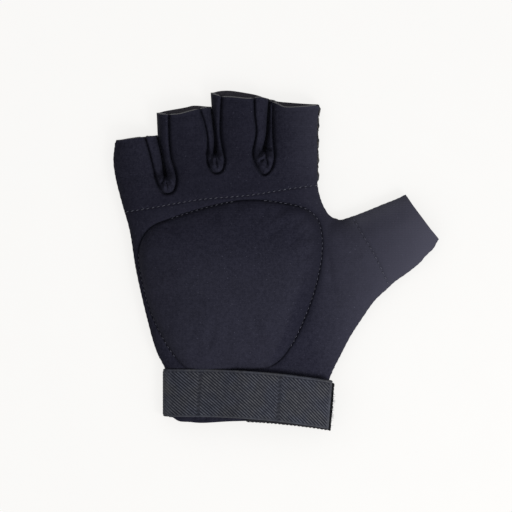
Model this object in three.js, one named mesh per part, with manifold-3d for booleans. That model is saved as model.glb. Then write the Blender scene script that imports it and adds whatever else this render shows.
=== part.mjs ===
// A left-hand field hockey glove with open finger ends, lying on its palm. Millimetres, +Z up, fingers
// towards +Y, thumb towards +X, origin on the ground at the middle of the outline.
import * as THREE from "three";
import { mergeVertices } from "three/addons/utils/BufferGeometryUtils.js";
import Module from "manifold-3d";

const wasm = await Module();
wasm.setup();

// Cloth and seams.
const CLOTH = 1.8; // foam-backed knit
const SEAM_GAP = 0.3; // between two pieces that are sewn together
const SEAM_HEIGHT = 4; // the side seams' height above the ground
const BACK_ROUND = 2.5; // how square the back's arch is: 2 is an ellipse
const PALM_ROUND = 4; // the palm lies flatter
const PALM_FLAT = 1.03; // and its middle is pressed flat where the rise would pass 1 over this

// The strap: one band that starts on the back of the wrist, goes round it, and ends over its own start.
const STRAP_CLOTH = 1.4;
const STRAP_WIDTH = 25.6;
const STRAP_CLEARANCE = 0.35;
const STRAP_START = 78; // the inner end, in degrees round the wrist from the thumb's side
const STRAP_END_X = 30.2; // the outer end, a little past the wrist
const STRAP_BOW = 6.4; // how far the strap's outer end bends towards the wearer's arm
const STRAP_SLANT = 0.08; // and how much it leans, as a share of the width
const STRAP_BOW_FROM = -40; // both begin here, in X
const STRAP_BOW_LENGTH = 70;
const STRAP_Y = -71.3; // the straight stretch's middle
const STRAP_LIFT = STRAP_CLOTH + STRAP_CLEARANCE; // what the strap lifts the wrist by
const WRIST_HEIGHT = 11.6;
const WRIST_SIDES = [-58.7, 28.4]; // in X

// The hook tape, sewn under the strap's outer end and showing past it on two sides.
const TAPE_START_X = -15;
const TAPE_END_X = 31.4;
const TAPE_CLOTH = 1.2;
const TAPE_WIDTH = 24.8;
const TAPE_SHIFT_Y = -1.1;

// The padded insert.
const PAD_RISE = 5; // its crown above the panel round it
const PAD_SHOULDER = 4; // how square its edge is

// Each tube is a table of sections, from the end inside the hand to the open end. left and right are the
// side seams' places, height is the back's, and lift is how far the palm is off the ground. Midway between
// the seams the section bulges towards -Y, by bow at the palm and by rake more than that at the back.
const HAND = [
  { left: [-58, -84.6], right: [28, -84], height: WRIST_HEIGHT, lift: STRAP_LIFT, rake: 0.6, bow: 2.6 },
  { left: [-58.4, -71], right: [28.2, -74], height: WRIST_HEIGHT, lift: STRAP_LIFT, rake: 0, bow: 1 },
  { left: [-58.6, -57.5], right: [28.3, -63.5], height: WRIST_HEIGHT, lift: STRAP_LIFT, rake: 0, bow: 0 },
  { left: [-62.7, -51.5], right: [33.6, -54.5], height: 12.8, lift: 0.9, rake: 0, bow: 0 },
  { left: [-65.8, -43.5], right: [38, -44.5], height: 14.2, lift: 0.1, rake: 0, bow: 0 },
  { left: [-69, -31], right: [39.6, -32], height: 15.1, lift: 0, rake: 0, bow: 0 },
  { left: [-72.9, -14], right: [40, -15], height: 15.6, lift: 0, rake: 0, bow: 0 },
  { left: [-76.2, 3], right: [37, 3], height: 15.4, lift: 0, rake: 0, bow: 0 },
  { left: [-79, 20], right: [31.4, 21.6], height: 14.6, lift: 0, rake: 0, bow: 0 },
  { left: [-81.2, 27], right: [24.6, 32.6], height: 13.9, lift: 0, rake: 0, bow: 0 },
  { left: [-83, 32], right: [23.3, 40], height: 13, lift: 0, rake: 0, bow: 0 },
  { left: [-85, 41], right: [22.9, 60], height: 8.6, lift: 0, rake: 0, bow: 0 },
];
const FINGERS = {
  little: [
    { left: [-80.6, 26], right: [-57, 28], height: 10.8, lift: 0, rake: 0, bow: 0 },
    { left: [-85.3, 42], right: [-59, 44], height: 11.2, lift: 0, rake: 0, bow: 0 },
    { left: [-86.9, 55], right: [-61.6, 57], height: 10.6, lift: 0, rake: 0, bow: 0 },
    { left: [-86, 64.6], right: [-63.9, 67.2], height: 10, lift: 0, rake: 1, bow: 0 },
  ],
  ring: [
    { left: [-56, 30], right: [-30.4, 34], height: 11, lift: 0, rake: 0, bow: 0 },
    { left: [-58.6, 46], right: [-31.8, 54], height: 11.6, lift: 0, rake: 0, bow: 0 },
    { left: [-60.9, 60], right: [-33, 66], height: 11.6, lift: 0, rake: 0, bow: 0 },
    { left: [-63.3, 79], right: [-35.6, 82.4], height: 11.2, lift: 0, rake: 3.8, bow: -1.5 },
  ],
  middle: [
    { left: [-29.6, 34], right: [-5.4, 36], height: 11, lift: 0, rake: 0, bow: 0 },
    { left: [-31.1, 56], right: [-5.8, 58], height: 11.8, lift: 0, rake: 0, bow: 0 },
    { left: [-32.2, 70], right: [-4.8, 71], height: 11.8, lift: 0, rake: 0, bow: 0 },
    { left: [-34.3, 90.2], right: [-3.8, 86.9], height: 11.4, lift: 0, rake: 4.4, bow: -2 },
  ],
  index: [
    { left: [-4.6, 36], right: [22.6, 35], height: 11, lift: 0, rake: 0, bow: 0 },
    { left: [-5, 58], right: [23.2, 58], height: 11.8, lift: 0, rake: 0, bow: 0 },
    { left: [-4, 71], right: [23.2, 71], height: 11.8, lift: 0, rake: 0, bow: 0 },
    { left: [-2.9, 86.2], right: [24, 83.8], height: 11.2, lift: 0, rake: 2.8, bow: 0 },
  ],
};
const THUMB = [
  { left: [4, 5], right: [30, -50], height: 13, lift: 0.2, rake: 0, bow: 0 },
  { left: [26.5, 20.4], right: [40.6, -40.6], height: 13.4, lift: 0, rake: 0, bow: 0 },
  { left: [35.2, 21.3], right: [51.6, -22.6], height: 13.2, lift: 0, rake: 0, bow: 0 },
  { left: [43, 22.8], right: [62.4, -13.2], height: 12.4, lift: 0, rake: 0, bow: 0 },
  { left: [56.6, 29.2], right: [75.6, -2.8], height: 11.4, lift: 0, rake: 0, bow: 0 },
  { left: [69.6, 35], right: [86.8, 11.4], height: 10, lift: 0, rake: 0.6, bow: 0 },
];

// The seam across the knuckles, from the little finger's side to the index finger's.
const KNUCKLE_SEAM = [
  [-95, 23.5],
  [-67.5, 27.8],
  [-40.5, 32.4],
  [-13.5, 34.8],
  [8, 38.3],
  [27, 40.4],
];
// The seam across the base of the thumb.
const THUMB_SEAM = [
  [39.4, 27],
  [41.8, 22.4],
  [51.2, 6.6],
  [62.8, -13.4],
];
// The pad's outline, counter-clockwise from the wrist's thumb side.
const PAD_OUTLINE = [
  [-8, -57.8],
  [0.7, -54.9],
  [7.8, -46.8],
  [14.6, -33.5],
  [21, -16],
  [24.6, 2],
  [24.7, 14],
  [22.5, 22],
  [17, 26.8],
  [3, 30.8],
  [-16, 32],
  [-36, 28.4],
  [-57.5, 21.4],
  [-66.1, 17.4],
  [-71.2, 11.2],
  [-73, 2],
  [-71.4, -11],
  [-66.6, -28],
  [-58.8, -44.4],
  [-50.4, -55.8],
  [-45, -57.8],
];
const PAD_CENTRE = [-24, -11];

// The strips between the fingers, each seen from above as a U: left and right are its seams with the two
// fingers' back panels at each y, and the U closes at foot.
const GUSSETS = {
  gusset_little_ring: {
    foot: [-57.8, 35.4],
    seams: [
      { y: 96, left: -70.4, right: -57.2 },
      { y: 66, left: -70, right: -57 },
      { y: 57, left: -67.6, right: -56.2 },
      { y: 48, left: -65.2, right: -53.8 },
      { y: 41, left: -63, right: -52.8 },
    ],
  },
  gusset_ring_middle: {
    foot: [-31.6, 46.4],
    seams: [
      { y: 98, left: -41, right: -28.4 },
      { y: 80, left: -40.2, right: -29 },
      { y: 66, left: -36.4, right: -29.2 },
      { y: 57, left: -36.2, right: -27.5 },
      { y: 51, left: -36, right: -27.2 },
    ],
  },
  gusset_middle_index: {
    foot: [-5.8, 45.4],
    seams: [
      { y: 98, left: -11.4, right: -0.6 },
      { y: 78, left: -11, right: -0.8 },
      { y: 66, left: -10.4, right: -0.6 },
      { y: 57, left: -12, right: -0.2 },
      { y: 51, left: -10.6, right: -1.2 },
    ],
  },
};

const finish = (colour, roughness) =>
  new THREE.MeshStandardMaterial({ color: colour, roughness, metalness: 0 });
const KNIT = finish(0x2a2a35, 0.9);
const WEBBING = finish(0x3b3c44, 0.85);
const HOOKS = finish(0x141417, 0.95);

// A closed geometry as a solid that can be cut and joined.
function solidOf(geometry) {
  const bare = geometry.index ? geometry.toNonIndexed() : geometry.clone();
  bare.deleteAttribute("normal");
  bare.deleteAttribute("uv");
  const merged = mergeVertices(bare, 1e-4);
  return new wasm.Manifold(
    new wasm.Mesh({
      numProp: 3,
      vertProperties: merged.attributes.position.array,
      triVerts: new Uint32Array(merged.index.array),
    }),
  );
}

// The one body of a solid that is a piece of cloth: what a cut leaves beside it is too small to sew.
const largest = (solid) => solid.decompose().sort((a, b) => b.volume() - a.volume())[0];

// Rings of points, all of one length, skinned into a closed solid with flat fans on its two ends.
function skin(rings) {
  const around = rings[0].length;
  const points = rings.flat();
  const faces = [];
  for (let ring = 0; ring + 1 < rings.length; ring += 1)
    for (let k = 0; k < around; k += 1) {
      const next = (k + 1) % around;
      const [a, b] = [ring * around + k, ring * around + next];
      const [c, d] = [a + around, b + around];
      faces.push(a, b, d, a, d, c);
    }
  [0, rings.length - 1].forEach((ring) => {
    const middle = new THREE.Vector3();
    rings[ring].forEach((point) => middle.addScaledVector(point, 1 / around));
    const hub = points.push(middle) - 1;
    for (let k = 0; k < around; k += 1) {
      const a = ring * around + k;
      const b = ring * around + ((k + 1) % around);
      if (ring === 0) faces.push(hub, b, a);
      else faces.push(hub, a, b);
    }
  });
  const geometry = new THREE.BufferGeometry().setFromPoints(points).setIndex(faces);
  const made = solidOf(geometry);
  if (made.volume() > 0) return made;
  geometry.setIndex(faces.slice().reverse());
  return solidOf(geometry);
}

// An outline in plan, as a prism that reaches below and above the whole glove.
function prism(outline) {
  const [low, high] = [-10, 40];
  const shape = new THREE.Shape(outline.map(([x, y]) => new THREE.Vector2(x, y)));
  const geometry = new THREE.ExtrudeGeometry(shape, { depth: high - low, bevelEnabled: false });
  return solidOf(geometry.translate(0, 0, low));
}

// Everything below a height, over the whole plan.
const slabBelow = (top) => solidOf(new THREE.BoxGeometry(400, 400, 100).translate(0, 0, top - 50));

const curveThrough = (outline, closed, count) =>
  new THREE.CatmullRomCurve3(
    outline.map(([x, y]) => new THREE.Vector3(x, y, 0)),
    closed,
    "centripetal",
  )
    .getPoints(count)
    .slice(0, closed ? count : count + 1)
    .map((point) => [point.x, point.y]);

// The rounded section's rise, from 0 at the side seams to 1 in the middle.
const arch = (across, roundness) =>
  (1 - Math.min(1, Math.abs(across)) ** roundness) ** (1 / roundness);

// One section as a ring of points, shrunk by inset on every side.
function ringOf(section, inset, around) {
  const middle = section.left.clone().add(section.right).multiplyScalar(0.5);
  const half = section.right.clone().sub(section.left).multiplyScalar(0.5);
  half.setLength(half.length() - inset);
  return Array.from({ length: around }, (_, k) => {
    const angle = (2 * Math.PI * k) / around;
    const roundness = Math.sin(angle) >= 0 ? BACK_ROUND : PALM_ROUND;
    const part = Math.abs(Math.cos(angle)) ** (2 / roundness);
    const across = Math.abs(Math.cos(angle)) < 1e-6 ? 0 : Math.sign(Math.cos(angle)) * part;
    const rise = arch(across, roundness);
    const top = section.height - inset - SEAM_HEIGHT;
    const under = SEAM_HEIGHT - section.lift - inset;
    const pressed = Math.min(1, rise * PALM_FLAT);
    const z = SEAM_HEIGHT + (Math.sin(angle) >= 0 ? top * rise : -under * pressed);
    const setBack = (section.bow + (section.rake * z) / section.height) * (1 - across ** 2);
    return new THREE.Vector3(
      middle.x + half.x * across,
      middle.y + half.y * across - setBack,
      z,
    );
  });
}

// A section moved by a length away from or, if it is negative, towards its neighbour.
function slid(section, neighbour, length) {
  const from = (side) => section[side].clone().sub(neighbour[side]).normalize();
  return {
    ...section,
    left: section.left.clone().addScaledVector(from("left"), length),
    right: section.right.clone().addScaledVector(from("right"), length),
  };
}

// A tube of cloth through a table, as its outside or, with an inset, as the hollow that leaves a wall at the
// closed end and runs out past the open one.
function tube(rows, { inset = 0, around = 20, open = "last" } = {}) {
  const sections = rows.map((row) => ({
    ...row,
    left: new THREE.Vector2(...row.left),
    right: new THREE.Vector2(...row.right),
  }));
  if (open === "first") sections.reverse();
  if (inset) {
    const past = 8;
    sections.push(slid(sections.at(-1), sections.at(-2), past));
    sections[0] = slid(sections[0], sections[1], -inset);
  }
  return skin(sections.map((section) => ringOf(section, inset, around)));
}

// The height of the hand's back at a place in plan.
function handTop(x, y) {
  const chordAt = ({ left, right }) =>
    left[1] + ((right[1] - left[1]) * (x - left[0])) / (right[0] - left[0]);
  const after = Math.max(1, HAND.findIndex((row) => chordAt(row) > y));
  const [near, far] = [HAND[after - 1], HAND[after]];
  const share = (y - chordAt(near)) / (chordAt(far) - chordAt(near));
  const between = (a, b) => THREE.MathUtils.lerp(a, b, share);
  const left = between(near.left[0], far.left[0]);
  const right = between(near.right[0], far.right[0]);
  const height = between(near.height, far.height);
  const across = (2 * (x - left)) / (right - left) - 1;
  return SEAM_HEIGHT + (height - SEAM_HEIGHT) * arch(across, BACK_ROUND);
}

// The whole glove's outside or hollow: the hand, four fingers and thumb as one.
function allTubes(inset) {
  const hand = tube(HAND, { inset, around: 36, open: "first" });
  const thumb = tube(THUMB, { inset, around: 24 });
  const fingers = Object.values(FINGERS).map((rows) => tube(rows, { inset }));
  return [thumb, ...fingers].reduce((joined, next) => joined.add(next), hand);
}

// A gusset's U in plan, grown by margin on every side.
function gussetOutline({ foot, seams }, margin = 0) {
  const down = seams.map(({ y, left }) => [left - margin, y]);
  const up = seams.map(({ y, right }) => [right + margin, y]).reverse();
  return curveThrough([...down, [foot[0], foot[1] - margin], ...up], false, 20);
}

// The pad's outline, grown by margin.
function padOutline(margin = 0) {
  return curveThrough(PAD_OUTLINE, true, 40).map(([x, y]) => {
    const out = new THREE.Vector2(x - PAD_CENTRE[0], y - PAD_CENTRE[1]);
    out.setLength(out.length() + margin);
    return [PAD_CENTRE[0] + out.x, PAD_CENTRE[1] + out.y];
  });
}

// The pad: flush with the panel's inside, and crowned above it. Each ring is the outline drawn in.
function padSolid() {
  const outline = padOutline();
  const rows = [1, 0.99, 0.965, 0.92, 0.84, 0.7, 0.48, 0.24];
  const ring = (share, zOf) =>
    outline.map(([x, y]) => {
      const px = PAD_CENTRE[0] + (x - PAD_CENTRE[0]) * share;
      const py = PAD_CENTRE[1] + (y - PAD_CENTRE[1]) * share;
      return new THREE.Vector3(px, py, zOf(px, py, share));
    });
  const crown = (px, py, share) => handTop(px, py) + PAD_RISE * arch(share, PAD_SHOULDER);
  const floor = (px, py) => handTop(px, py) - CLOTH;
  const under = [0.3, 0.6, 0.85, 1].map((share) => ring(share, floor));
  const over = rows.map((share) => ring(share, crown));
  return skin([...under, ...over]);
}

// How far along its bend the strap is at x.
const bendAt = (x) => Math.max(0, x - STRAP_BOW_FROM) / STRAP_BOW_LENGTH;

// A band that follows a path in the XZ plane, with square edges, moved along Y by a shift.
function band(path, width, thickness, shift = 0) {
  const corners = [
    { out: 1, edge: 1 },
    { out: 1, edge: -1 },
    { out: -1, edge: -1 },
    { out: -1, edge: 1 },
  ];
  const rings = path.map((point, k) => {
    const before = path[Math.max(0, k - 1)];
    const after = path[Math.min(path.length - 1, k + 1)];
    const normal = new THREE.Vector2(before.y - after.y, after.x - before.x).normalize();
    const bend = bendAt(point.x);
    return corners.map(({ out, edge }) => {
      const place = point.clone().addScaledVector(normal, (out * thickness) / 2);
      const across = (edge * width) / 2;
      const y = STRAP_Y - STRAP_BOW * bend ** 2 + shift + across;
      return new THREE.Vector3(place.x + STRAP_SLANT * bend * across, y, place.y);
    });
  });
  return skin(rings);
}

// A point off the wrist's section, at an angle round it, 0 at the thumb's side and 90 on top.
function offWrist(degrees, clearance) {
  const angle = THREE.MathUtils.degToRad(degrees);
  const [c, s] = [Math.cos(angle), Math.sin(angle)];
  const roundness = s >= 0 ? BACK_ROUND : PALM_ROUND;
  const across = Math.sign(c) * Math.abs(c) ** (2 / roundness);
  const rise = Math.sign(s) * Math.abs(s) ** (2 / roundness);
  const [left, right] = WRIST_SIDES;
  const half = (right - left) / 2 + clearance;
  const reach = (s >= 0 ? WRIST_HEIGHT - SEAM_HEIGHT : SEAM_HEIGHT - STRAP_LIFT) + clearance;
  return new THREE.Vector2((left + right) / 2 + half * across, SEAM_HEIGHT + reach * rise);
}

// The height of the strap's outer end at x, where it rises over the tape and its own start, and then
// droops a little where nothing is under it.
function tabHeight(x) {
  const flat = WRIST_HEIGHT + STRAP_CLEARANCE + STRAP_CLOTH / 2;
  const stack = STRAP_CLOTH + TAPE_CLOTH + 2 * SEAM_GAP;
  const climbed = THREE.MathUtils.smoothstep(x, TAPE_START_X - 18, TAPE_START_X - 1);
  const droop = 2.6 * THREE.MathUtils.smoothstep(x, 6, 40);
  return flat + stack * climbed - droop;
}

// The strap's path: its start on top, down round the thumb's side, under the palm, up round the other side
// and back across the top to its end.
function strapPath() {
  const down = [STRAP_START, 66, 54, 42, 30, 20, 12, 6, 0, -8, -18, -30];
  const under = [-50, -70, -90, -110, -130, -150];
  const up = [-162, -172, -180, -186, -192, -200, -210, -222, -236, -250];
  const across = [-24, -20, -16, -4, 8, 16, 24, STRAP_END_X];
  const wrapped = [...down, ...under, ...up].map((degrees) =>
    offWrist(degrees, STRAP_CLEARANCE + STRAP_CLOTH / 2),
  );
  return [...wrapped, ...across.map((x) => new THREE.Vector2(x, tabHeight(x)))];
}

// The tape's path, under the strap's outer end.
function tapePath() {
  const under = STRAP_CLOTH / 2 + SEAM_GAP + TAPE_CLOTH / 2;
  return [TAPE_START_X, -4, 8, 16, 24, STRAP_END_X, TAPE_END_X].map(
    (x) => new THREE.Vector2(x, tabHeight(x) - under),
  );
}

const shell = allTubes(0).subtract(allTubes(CLOTH));
const palmSide = slabBelow(SEAM_HEIGHT - SEAM_GAP / 2);
const belowBack = slabBelow(SEAM_HEIGHT + SEAM_GAP / 2);

// The fingers' side of the knuckle seam, and the thumb's side of the thumb seam, moved by a margin.
const fingerSide = (margin) =>
  prism([
    ...curveThrough(KNUCKLE_SEAM, false, 10).map(([x, y]) => [x, y + margin]),
    [27, 110],
    [-95, 110],
  ]);
const thumbSide = (margin) =>
  prism([
    ...curveThrough(THUMB_SEAM, false, 6).map(([x, y]) => [x + margin, y + margin / 2]),
    [70, -30],
    [110, 0],
    [110, 60],
    [45, 60],
  ]);

const back = shell.subtract(belowBack).subtract(thumbSide(-SEAM_GAP / 2));
const gussets = Object.entries(GUSSETS);
const fingerBack = gussets.reduce(
  (rest, [, gusset]) => rest.subtract(prism(gussetOutline(gusset, SEAM_GAP))),
  back.intersect(fingerSide(SEAM_GAP / 2)),
);

const solids = {
  back_fingers: [fingerBack, KNIT],
  back_hand: [back.subtract(fingerSide(-SEAM_GAP / 2)).subtract(prism(padOutline(SEAM_GAP))), KNIT],
  back_pad: [padSolid(), KNIT],
  palm: [shell.intersect(palmSide).subtract(thumbSide(-SEAM_GAP / 2)), KNIT],
  thumb_stall: [shell.intersect(thumbSide(SEAM_GAP / 2)), KNIT],
  wrist_strap: [band(strapPath(), STRAP_WIDTH, STRAP_CLOTH), WEBBING],
  hook_tape: [band(tapePath(), TAPE_WIDTH, TAPE_CLOTH, TAPE_SHIFT_Y), HOOKS],
};
gussets.forEach(([name, gusset]) => {
  solids[name] = [back.intersect(prism(gussetOutline(gusset))), KNIT];
});

const glove = new THREE.Group();
Object.entries(solids).forEach(([name, [solid, material]]) => {
  const { numProp, vertProperties, triVerts } = largest(solid).getMesh();
  const geometry = new THREE.BufferGeometry();
  geometry.setAttribute("position", new THREE.BufferAttribute(vertProperties, numProp));
  geometry.setIndex(new THREE.BufferAttribute(triVerts, 1));
  geometry.computeVertexNormals();
  const mesh = new THREE.Mesh(geometry, material);
  mesh.name = name;
  glove.add(mesh);
});

export default glove;
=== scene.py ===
"""A left-hand field hockey glove with open finger ends, lying on its palm, dressed around its solids.

Plan measures are millimetres in the part's frame: fingers towards +Y, thumb towards +X, ground at Z 0.
Meshes are made in metres.
"""

import math
from collections import namedtuple

import bpy
import numpy as np
from bpy.props import FloatProperty, FloatVectorProperty, IntProperty, PointerProperty
from mathutils import Matrix, Vector
from mathutils.geometry import delaunay_2d_cdt


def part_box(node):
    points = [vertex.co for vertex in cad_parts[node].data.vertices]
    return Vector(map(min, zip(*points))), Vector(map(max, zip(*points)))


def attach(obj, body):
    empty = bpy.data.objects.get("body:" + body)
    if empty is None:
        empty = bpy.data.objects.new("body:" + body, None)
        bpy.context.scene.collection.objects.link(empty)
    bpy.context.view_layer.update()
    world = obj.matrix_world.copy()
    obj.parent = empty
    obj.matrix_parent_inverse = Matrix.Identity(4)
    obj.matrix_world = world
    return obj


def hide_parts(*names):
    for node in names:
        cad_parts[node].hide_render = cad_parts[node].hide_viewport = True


bl_info = {
    "name": "Field Hockey Glove",
    "version": (1, 0, 0),
    "blender": (4, 5, 0),
    "location": "View3D > Sidebar > Glove",
    "description": "Builds the sewn panels, pad, strap, stitching and stage of a field hockey glove",
    "category": "Add Mesh",
}

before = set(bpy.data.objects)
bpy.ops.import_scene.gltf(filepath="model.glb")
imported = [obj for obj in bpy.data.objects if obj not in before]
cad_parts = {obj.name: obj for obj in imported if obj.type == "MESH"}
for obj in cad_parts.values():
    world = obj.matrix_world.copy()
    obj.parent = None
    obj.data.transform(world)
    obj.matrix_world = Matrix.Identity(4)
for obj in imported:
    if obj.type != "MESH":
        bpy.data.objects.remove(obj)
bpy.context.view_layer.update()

MM = 0.001
BODY = "root"

# The side seams' height, midway between the palm and the panels above it.
SEAM_Z = (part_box("palm")[1].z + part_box("back_hand")[0].z) / 2 / MM

# Plan lines, each from the wearer's arm or from the left. SIDES run round the glove with its inside on
# their left hand, and each finger's open end is between two of them.
SIDE_OF_THUMB = [
    (28, -124), (28, -84), (28.2, -72), (29.4, -64.4), (36.2, -49.7), (40.6, -41), (46.4, -32),
    (53.8, -21.6), (60, -15.8), (64.4, -11.7), (71.9, -6.4), (78.6, -0.8), (80.9, 2.1), (85.4, 6.4),
    (88.2, 11.2), (120, 34),
]
SIDE_OF_CROTCH = [
    (102.6, 57.8), (69.9, 35.2), (57.4, 29.8), (44.5, 24.6), (40.4, 23.2), (36.4, 21.9), (34.9, 21.6),
    (33.3, 22.2), (29.8, 23.6), (26.3, 28.6), (24.2, 34), (22.9, 40.4), (22.6, 58), (22.8, 75),
    (23.8, 83.8), (25.6, 123),
]
GAPS = {
    "middle_index": [(-1, 126), (-3.2, 86.6), (-4, 75.6), (-4.5, 67.2), (-5.6, 61.4), (-5.8, 59)],
    "ring_middle": [(-37, 126), (-34.8, 90.2), (-34.1, 80), (-32.8, 69.3), (-32.2, 61), (-32.2, 57.4)],
    "little_ring": [
        (-67, 113), (-63.9, 79.2), (-63.6, 72.6), (-63.2, 66), (-61.5, 58.4), (-60, 50), (-59, 45.2),
    ],
}
SIDE_OF_LITTLE = [
    (-85, 104), (-86.1, 64.6), (-87.1, 54), (-86, 44.8), (-82.5, 30.8), (-78.4, 16.2), (-74.9, -5.4),
    (-68.7, -32.4), (-63.8, -49.7), (-59.3, -59.5), (-58.6, -71), (-58, -84.6), (-57.6, -124),
]

# Half the width of the slit between two fingers, at its foot and in the open, and how far up it widens.
SLIT = (0.03, 0.06)
SLIT_OPENS = 20

# The cut ends of the back and of the palm, from the little finger's side to the index finger's.
BACK_RIMS = {
    "little": [(-86.1, 64), (-78, 65), (-70.2, 66), (-64.3, 66.6)],
    "ring": [(-63.4, 78.8), (-60, 78.2), (-52.4, 78.1), (-46.1, 79.6), (-40.6, 81.1), (-35.4, 82)],
    "middle": [(-34.2, 89.6), (-28.8, 87.7), (-22.5, 87.2), (-14.1, 86.5), (-8, 87.3), (-3.5, 86.3)],
    "index": [(-2.9, 86), (1.6, 83.4), (4.8, 82), (15.3, 82.2), (24.2, 83.2)],
}
PALM_RIMS = {
    "little": [(-86.1, 64.7), (-76, 66), (-64.3, 67.3)],
    "ring": [(-63.4, 79.4), (-60.8, 80.1), (-48.2, 82.4), (-44.2, 83.3), (-35.4, 82.6)],
    "middle": [(-34.2, 90.2), (-30.9, 91), (-25.4, 91.4), (-18.3, 90.6), (-9.9, 89), (-3.5, 86.8)],
    "index": [(-2.9, 86.6), (0.6, 85.7), (11.1, 84.7), (24.2, 83.8)],
}
HEM_BACK = [
    (-58, -83), (-55, -84.6), (-51.7, -86.5), (-46, -86.9), (-40, -87.35),
    (-24.3, -86.5), (-8, -86.1), (14, -85.4), (28, -84),
]
HEM_PALM = [(-58, -84.6), (-44, -85.6), (-15, -86.1), (14, -85.6), (28, -84)]

KNUCKLE_SEAM = [(-80.9, 25.8), (-67.5, 27.8), (-40.5, 32.4), (-13.5, 34.8), (8, 38.3), (23.3, 40.4)]
THUMB_SEAM = [(41.2, 23.4), (46.9, 13.4), (53.4, 2.2), (61.4, -14.4)]

# The seams of the strips between the fingers: down one side, round the foot and up the other.
GUSSET_SEAMS = {
    "gusset_little_ring": [
        (-70.2, 66), (-67.5, 56.7), (-65.4, 48.3), (-62.9, 40.3), (-60.6, 36.6), (-57.8, 35.6),
        (-54.6, 36.9), (-53, 42.4), (-53.6, 47.4), (-55.7, 54.2), (-56.8, 63), (-57.2, 78.1),
    ],
    "gusset_ring_middle": [
        (-40.6, 81.1), (-38.1, 73.5), (-36.6, 65.9), (-36.4, 56.7), (-36, 51.2), (-34.2, 47.9),
        (-31.4, 46.6), (-28.6, 47.9), (-27.2, 52.5), (-27.8, 58), (-29.3, 67.2), (-29.3, 77.7),
        (-28.8, 87.7),
    ],
    "gusset_middle_index": [
        (-11.4, 86.8), (-11.2, 77.7), (-10.3, 69.3), (-11.2, 63), (-12, 58.4), (-11.5, 53.8),
        (-9.5, 49.4), (-5.9, 45.8), (-3, 47.6), (-1.3, 50.8), (-0.4, 56.7), (-0.9, 63), (-1.3, 73.5),
        (-1.4, 84.8),
    ],
}

# The folds where each strip is gathered at its foot, all deepest at the first point.
GUSSET_FOLDS = {
    "gusset_little_ring": [
        [(-59, 46), (-59.6, 43), (-61, 39.6)],
        [(-59, 45.4), (-57.4, 42.4), (-55, 39.4)],
        [(-58.4, 43.6), (-58.2, 40.6), (-57.8, 37.6)],
    ],
    "gusset_ring_middle": [
        [(-32.2, 58.6), (-33.5, 55.7), (-34.8, 52.6), (-35.6, 50.6)],
        [(-31.9, 57.3), (-31.9, 54.2), (-31.4, 49.6)],
        [(-31.6, 57), (-30.4, 54.4), (-28.6, 51.6)],
    ],
    "gusset_middle_index": [
        [(-5.7, 61), (-6.9, 58.2), (-8.4, 56)],
        [(-5.7, 59.6), (-5, 56.2), (-5.8, 54.5), (-7.6, 53.3)],
        [(-5.4, 55), (-4.5, 52.1), (-4.4, 50.2), (-3.6, 49.4)],
        [(-5.4, 60.2), (-3.6, 59.6), (-2.6, 59)],
    ],
}

# Where each strip bulges between its folds.
GUSSET_PUFFS = {
    "gusset_little_ring": [(-61.4, 43.2), (-56, 43.2), (-59.5, 39.2), (-56.8, 39)],
    "gusset_ring_middle": [(-34.8, 54.6), (-29.4, 54.8), (-33.4, 50.6), (-30, 50.4)],
    "gusset_middle_index": [(-8.8, 54.4), (-2.6, 54.6), (-7, 50.6), (-4, 48.4)],
}

PAD_OUTLINE = [
    (-8, -58.4), (0.7, -54.9), (7.8, -46.8), (14.6, -33.5), (21, -16), (24.8, 2), (24.9, 13),
    (22.6, 22), (17, 27.2), (3, 30.8), (-16, 32.1), (-36, 28.4), (-57.5, 21.5), (-66.1, 17.7),
    (-71.4, 11.2), (-73.4, 2), (-71.6, -11), (-66.8, -28), (-58.8, -44.6), (-50.2, -56.1), (-45, -58.4),
]

# The thumb's open end, and the way in to the hand from there.
THUMB_CORNERS = [(87.9, 11.4), (70.2, 35.2)]
THUMB_INWARD = (-0.81, -0.58)
THUMB_SET_BACK = 0.9

# Where the side seams and the raw seam on the index finger show their thread.
SIDE_STITCHES = {
    "little": [(-86.1, 63), (-59.5, -58.5)],
    "thumb": [(29.6, -64), (86, 9.6)],
    "crotch": [(68, 34.4), (23.3, 40)],
}
RAW_SEAM = [(24.2, 83.4), (23.4, 41)]
RAW_SEAM_STEP = 0.5
PALM_SEAM_SHOWS = slice(9, -9)

# Where the pad's seam shows its thread, from one place on the outline to another.
PAD_STITCHES = [
    ((7.8, -46.8), (-7, 31.8)),
    ((-22, 31.4), (-57.5, 21.5)),
    ((-73.2, 4), (-53, -52.7)),
]

# Soft creases in the panels: a line, how deep it is and how wide.
CREASES = [
    ([(30.4, 23), (28.4, 12), (28.6, -2), (30.2, -14)], 0.7, 2.6),
    ([(36, 21), (38, 10), (43, -2), (49, -12)], 0.35, 4),
    ([(2.6, -49.4), (5.6, -47.4)], 0.5, 1),
    ([(36.5, -44), (26, -42), (16, -44)], 0.4, 3),
    ([(-43.5, -84.6), (-39.6, -85.6), (-36.5, -84.8)], 0.8, 0.7),
    ([(31.4, -58), (20, -52), (11, -52)], 0.5, 2.6),
]

# The creases of the palm, which lift off the ground.
PALM_CREASES = [
    ([(36, 20), (16, 10), (1, -10), (-4, -34), (-1, -54)], 0.8, 1.8),
    ([(30, 13), (2, 4), (-28, -8), (-50, -27)], 0.6, 1.5),
    ([(-77, 6), (-48, 13), (-20, 20), (2, 32)], 0.6, 1.5),
    ([(-80, 38), (-70, 39.5), (-62, 41)], 0.5, 1.2),
    ([(-56, 43), (-44, 45), (-35, 46)], 0.5, 1.2),
    ([(-29, 46.5), (-18, 47), (-8, 47)], 0.5, 1.2),
    ([(-3, 46.5), (9, 45), (21, 44)], 0.5, 1.2),
]

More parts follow.
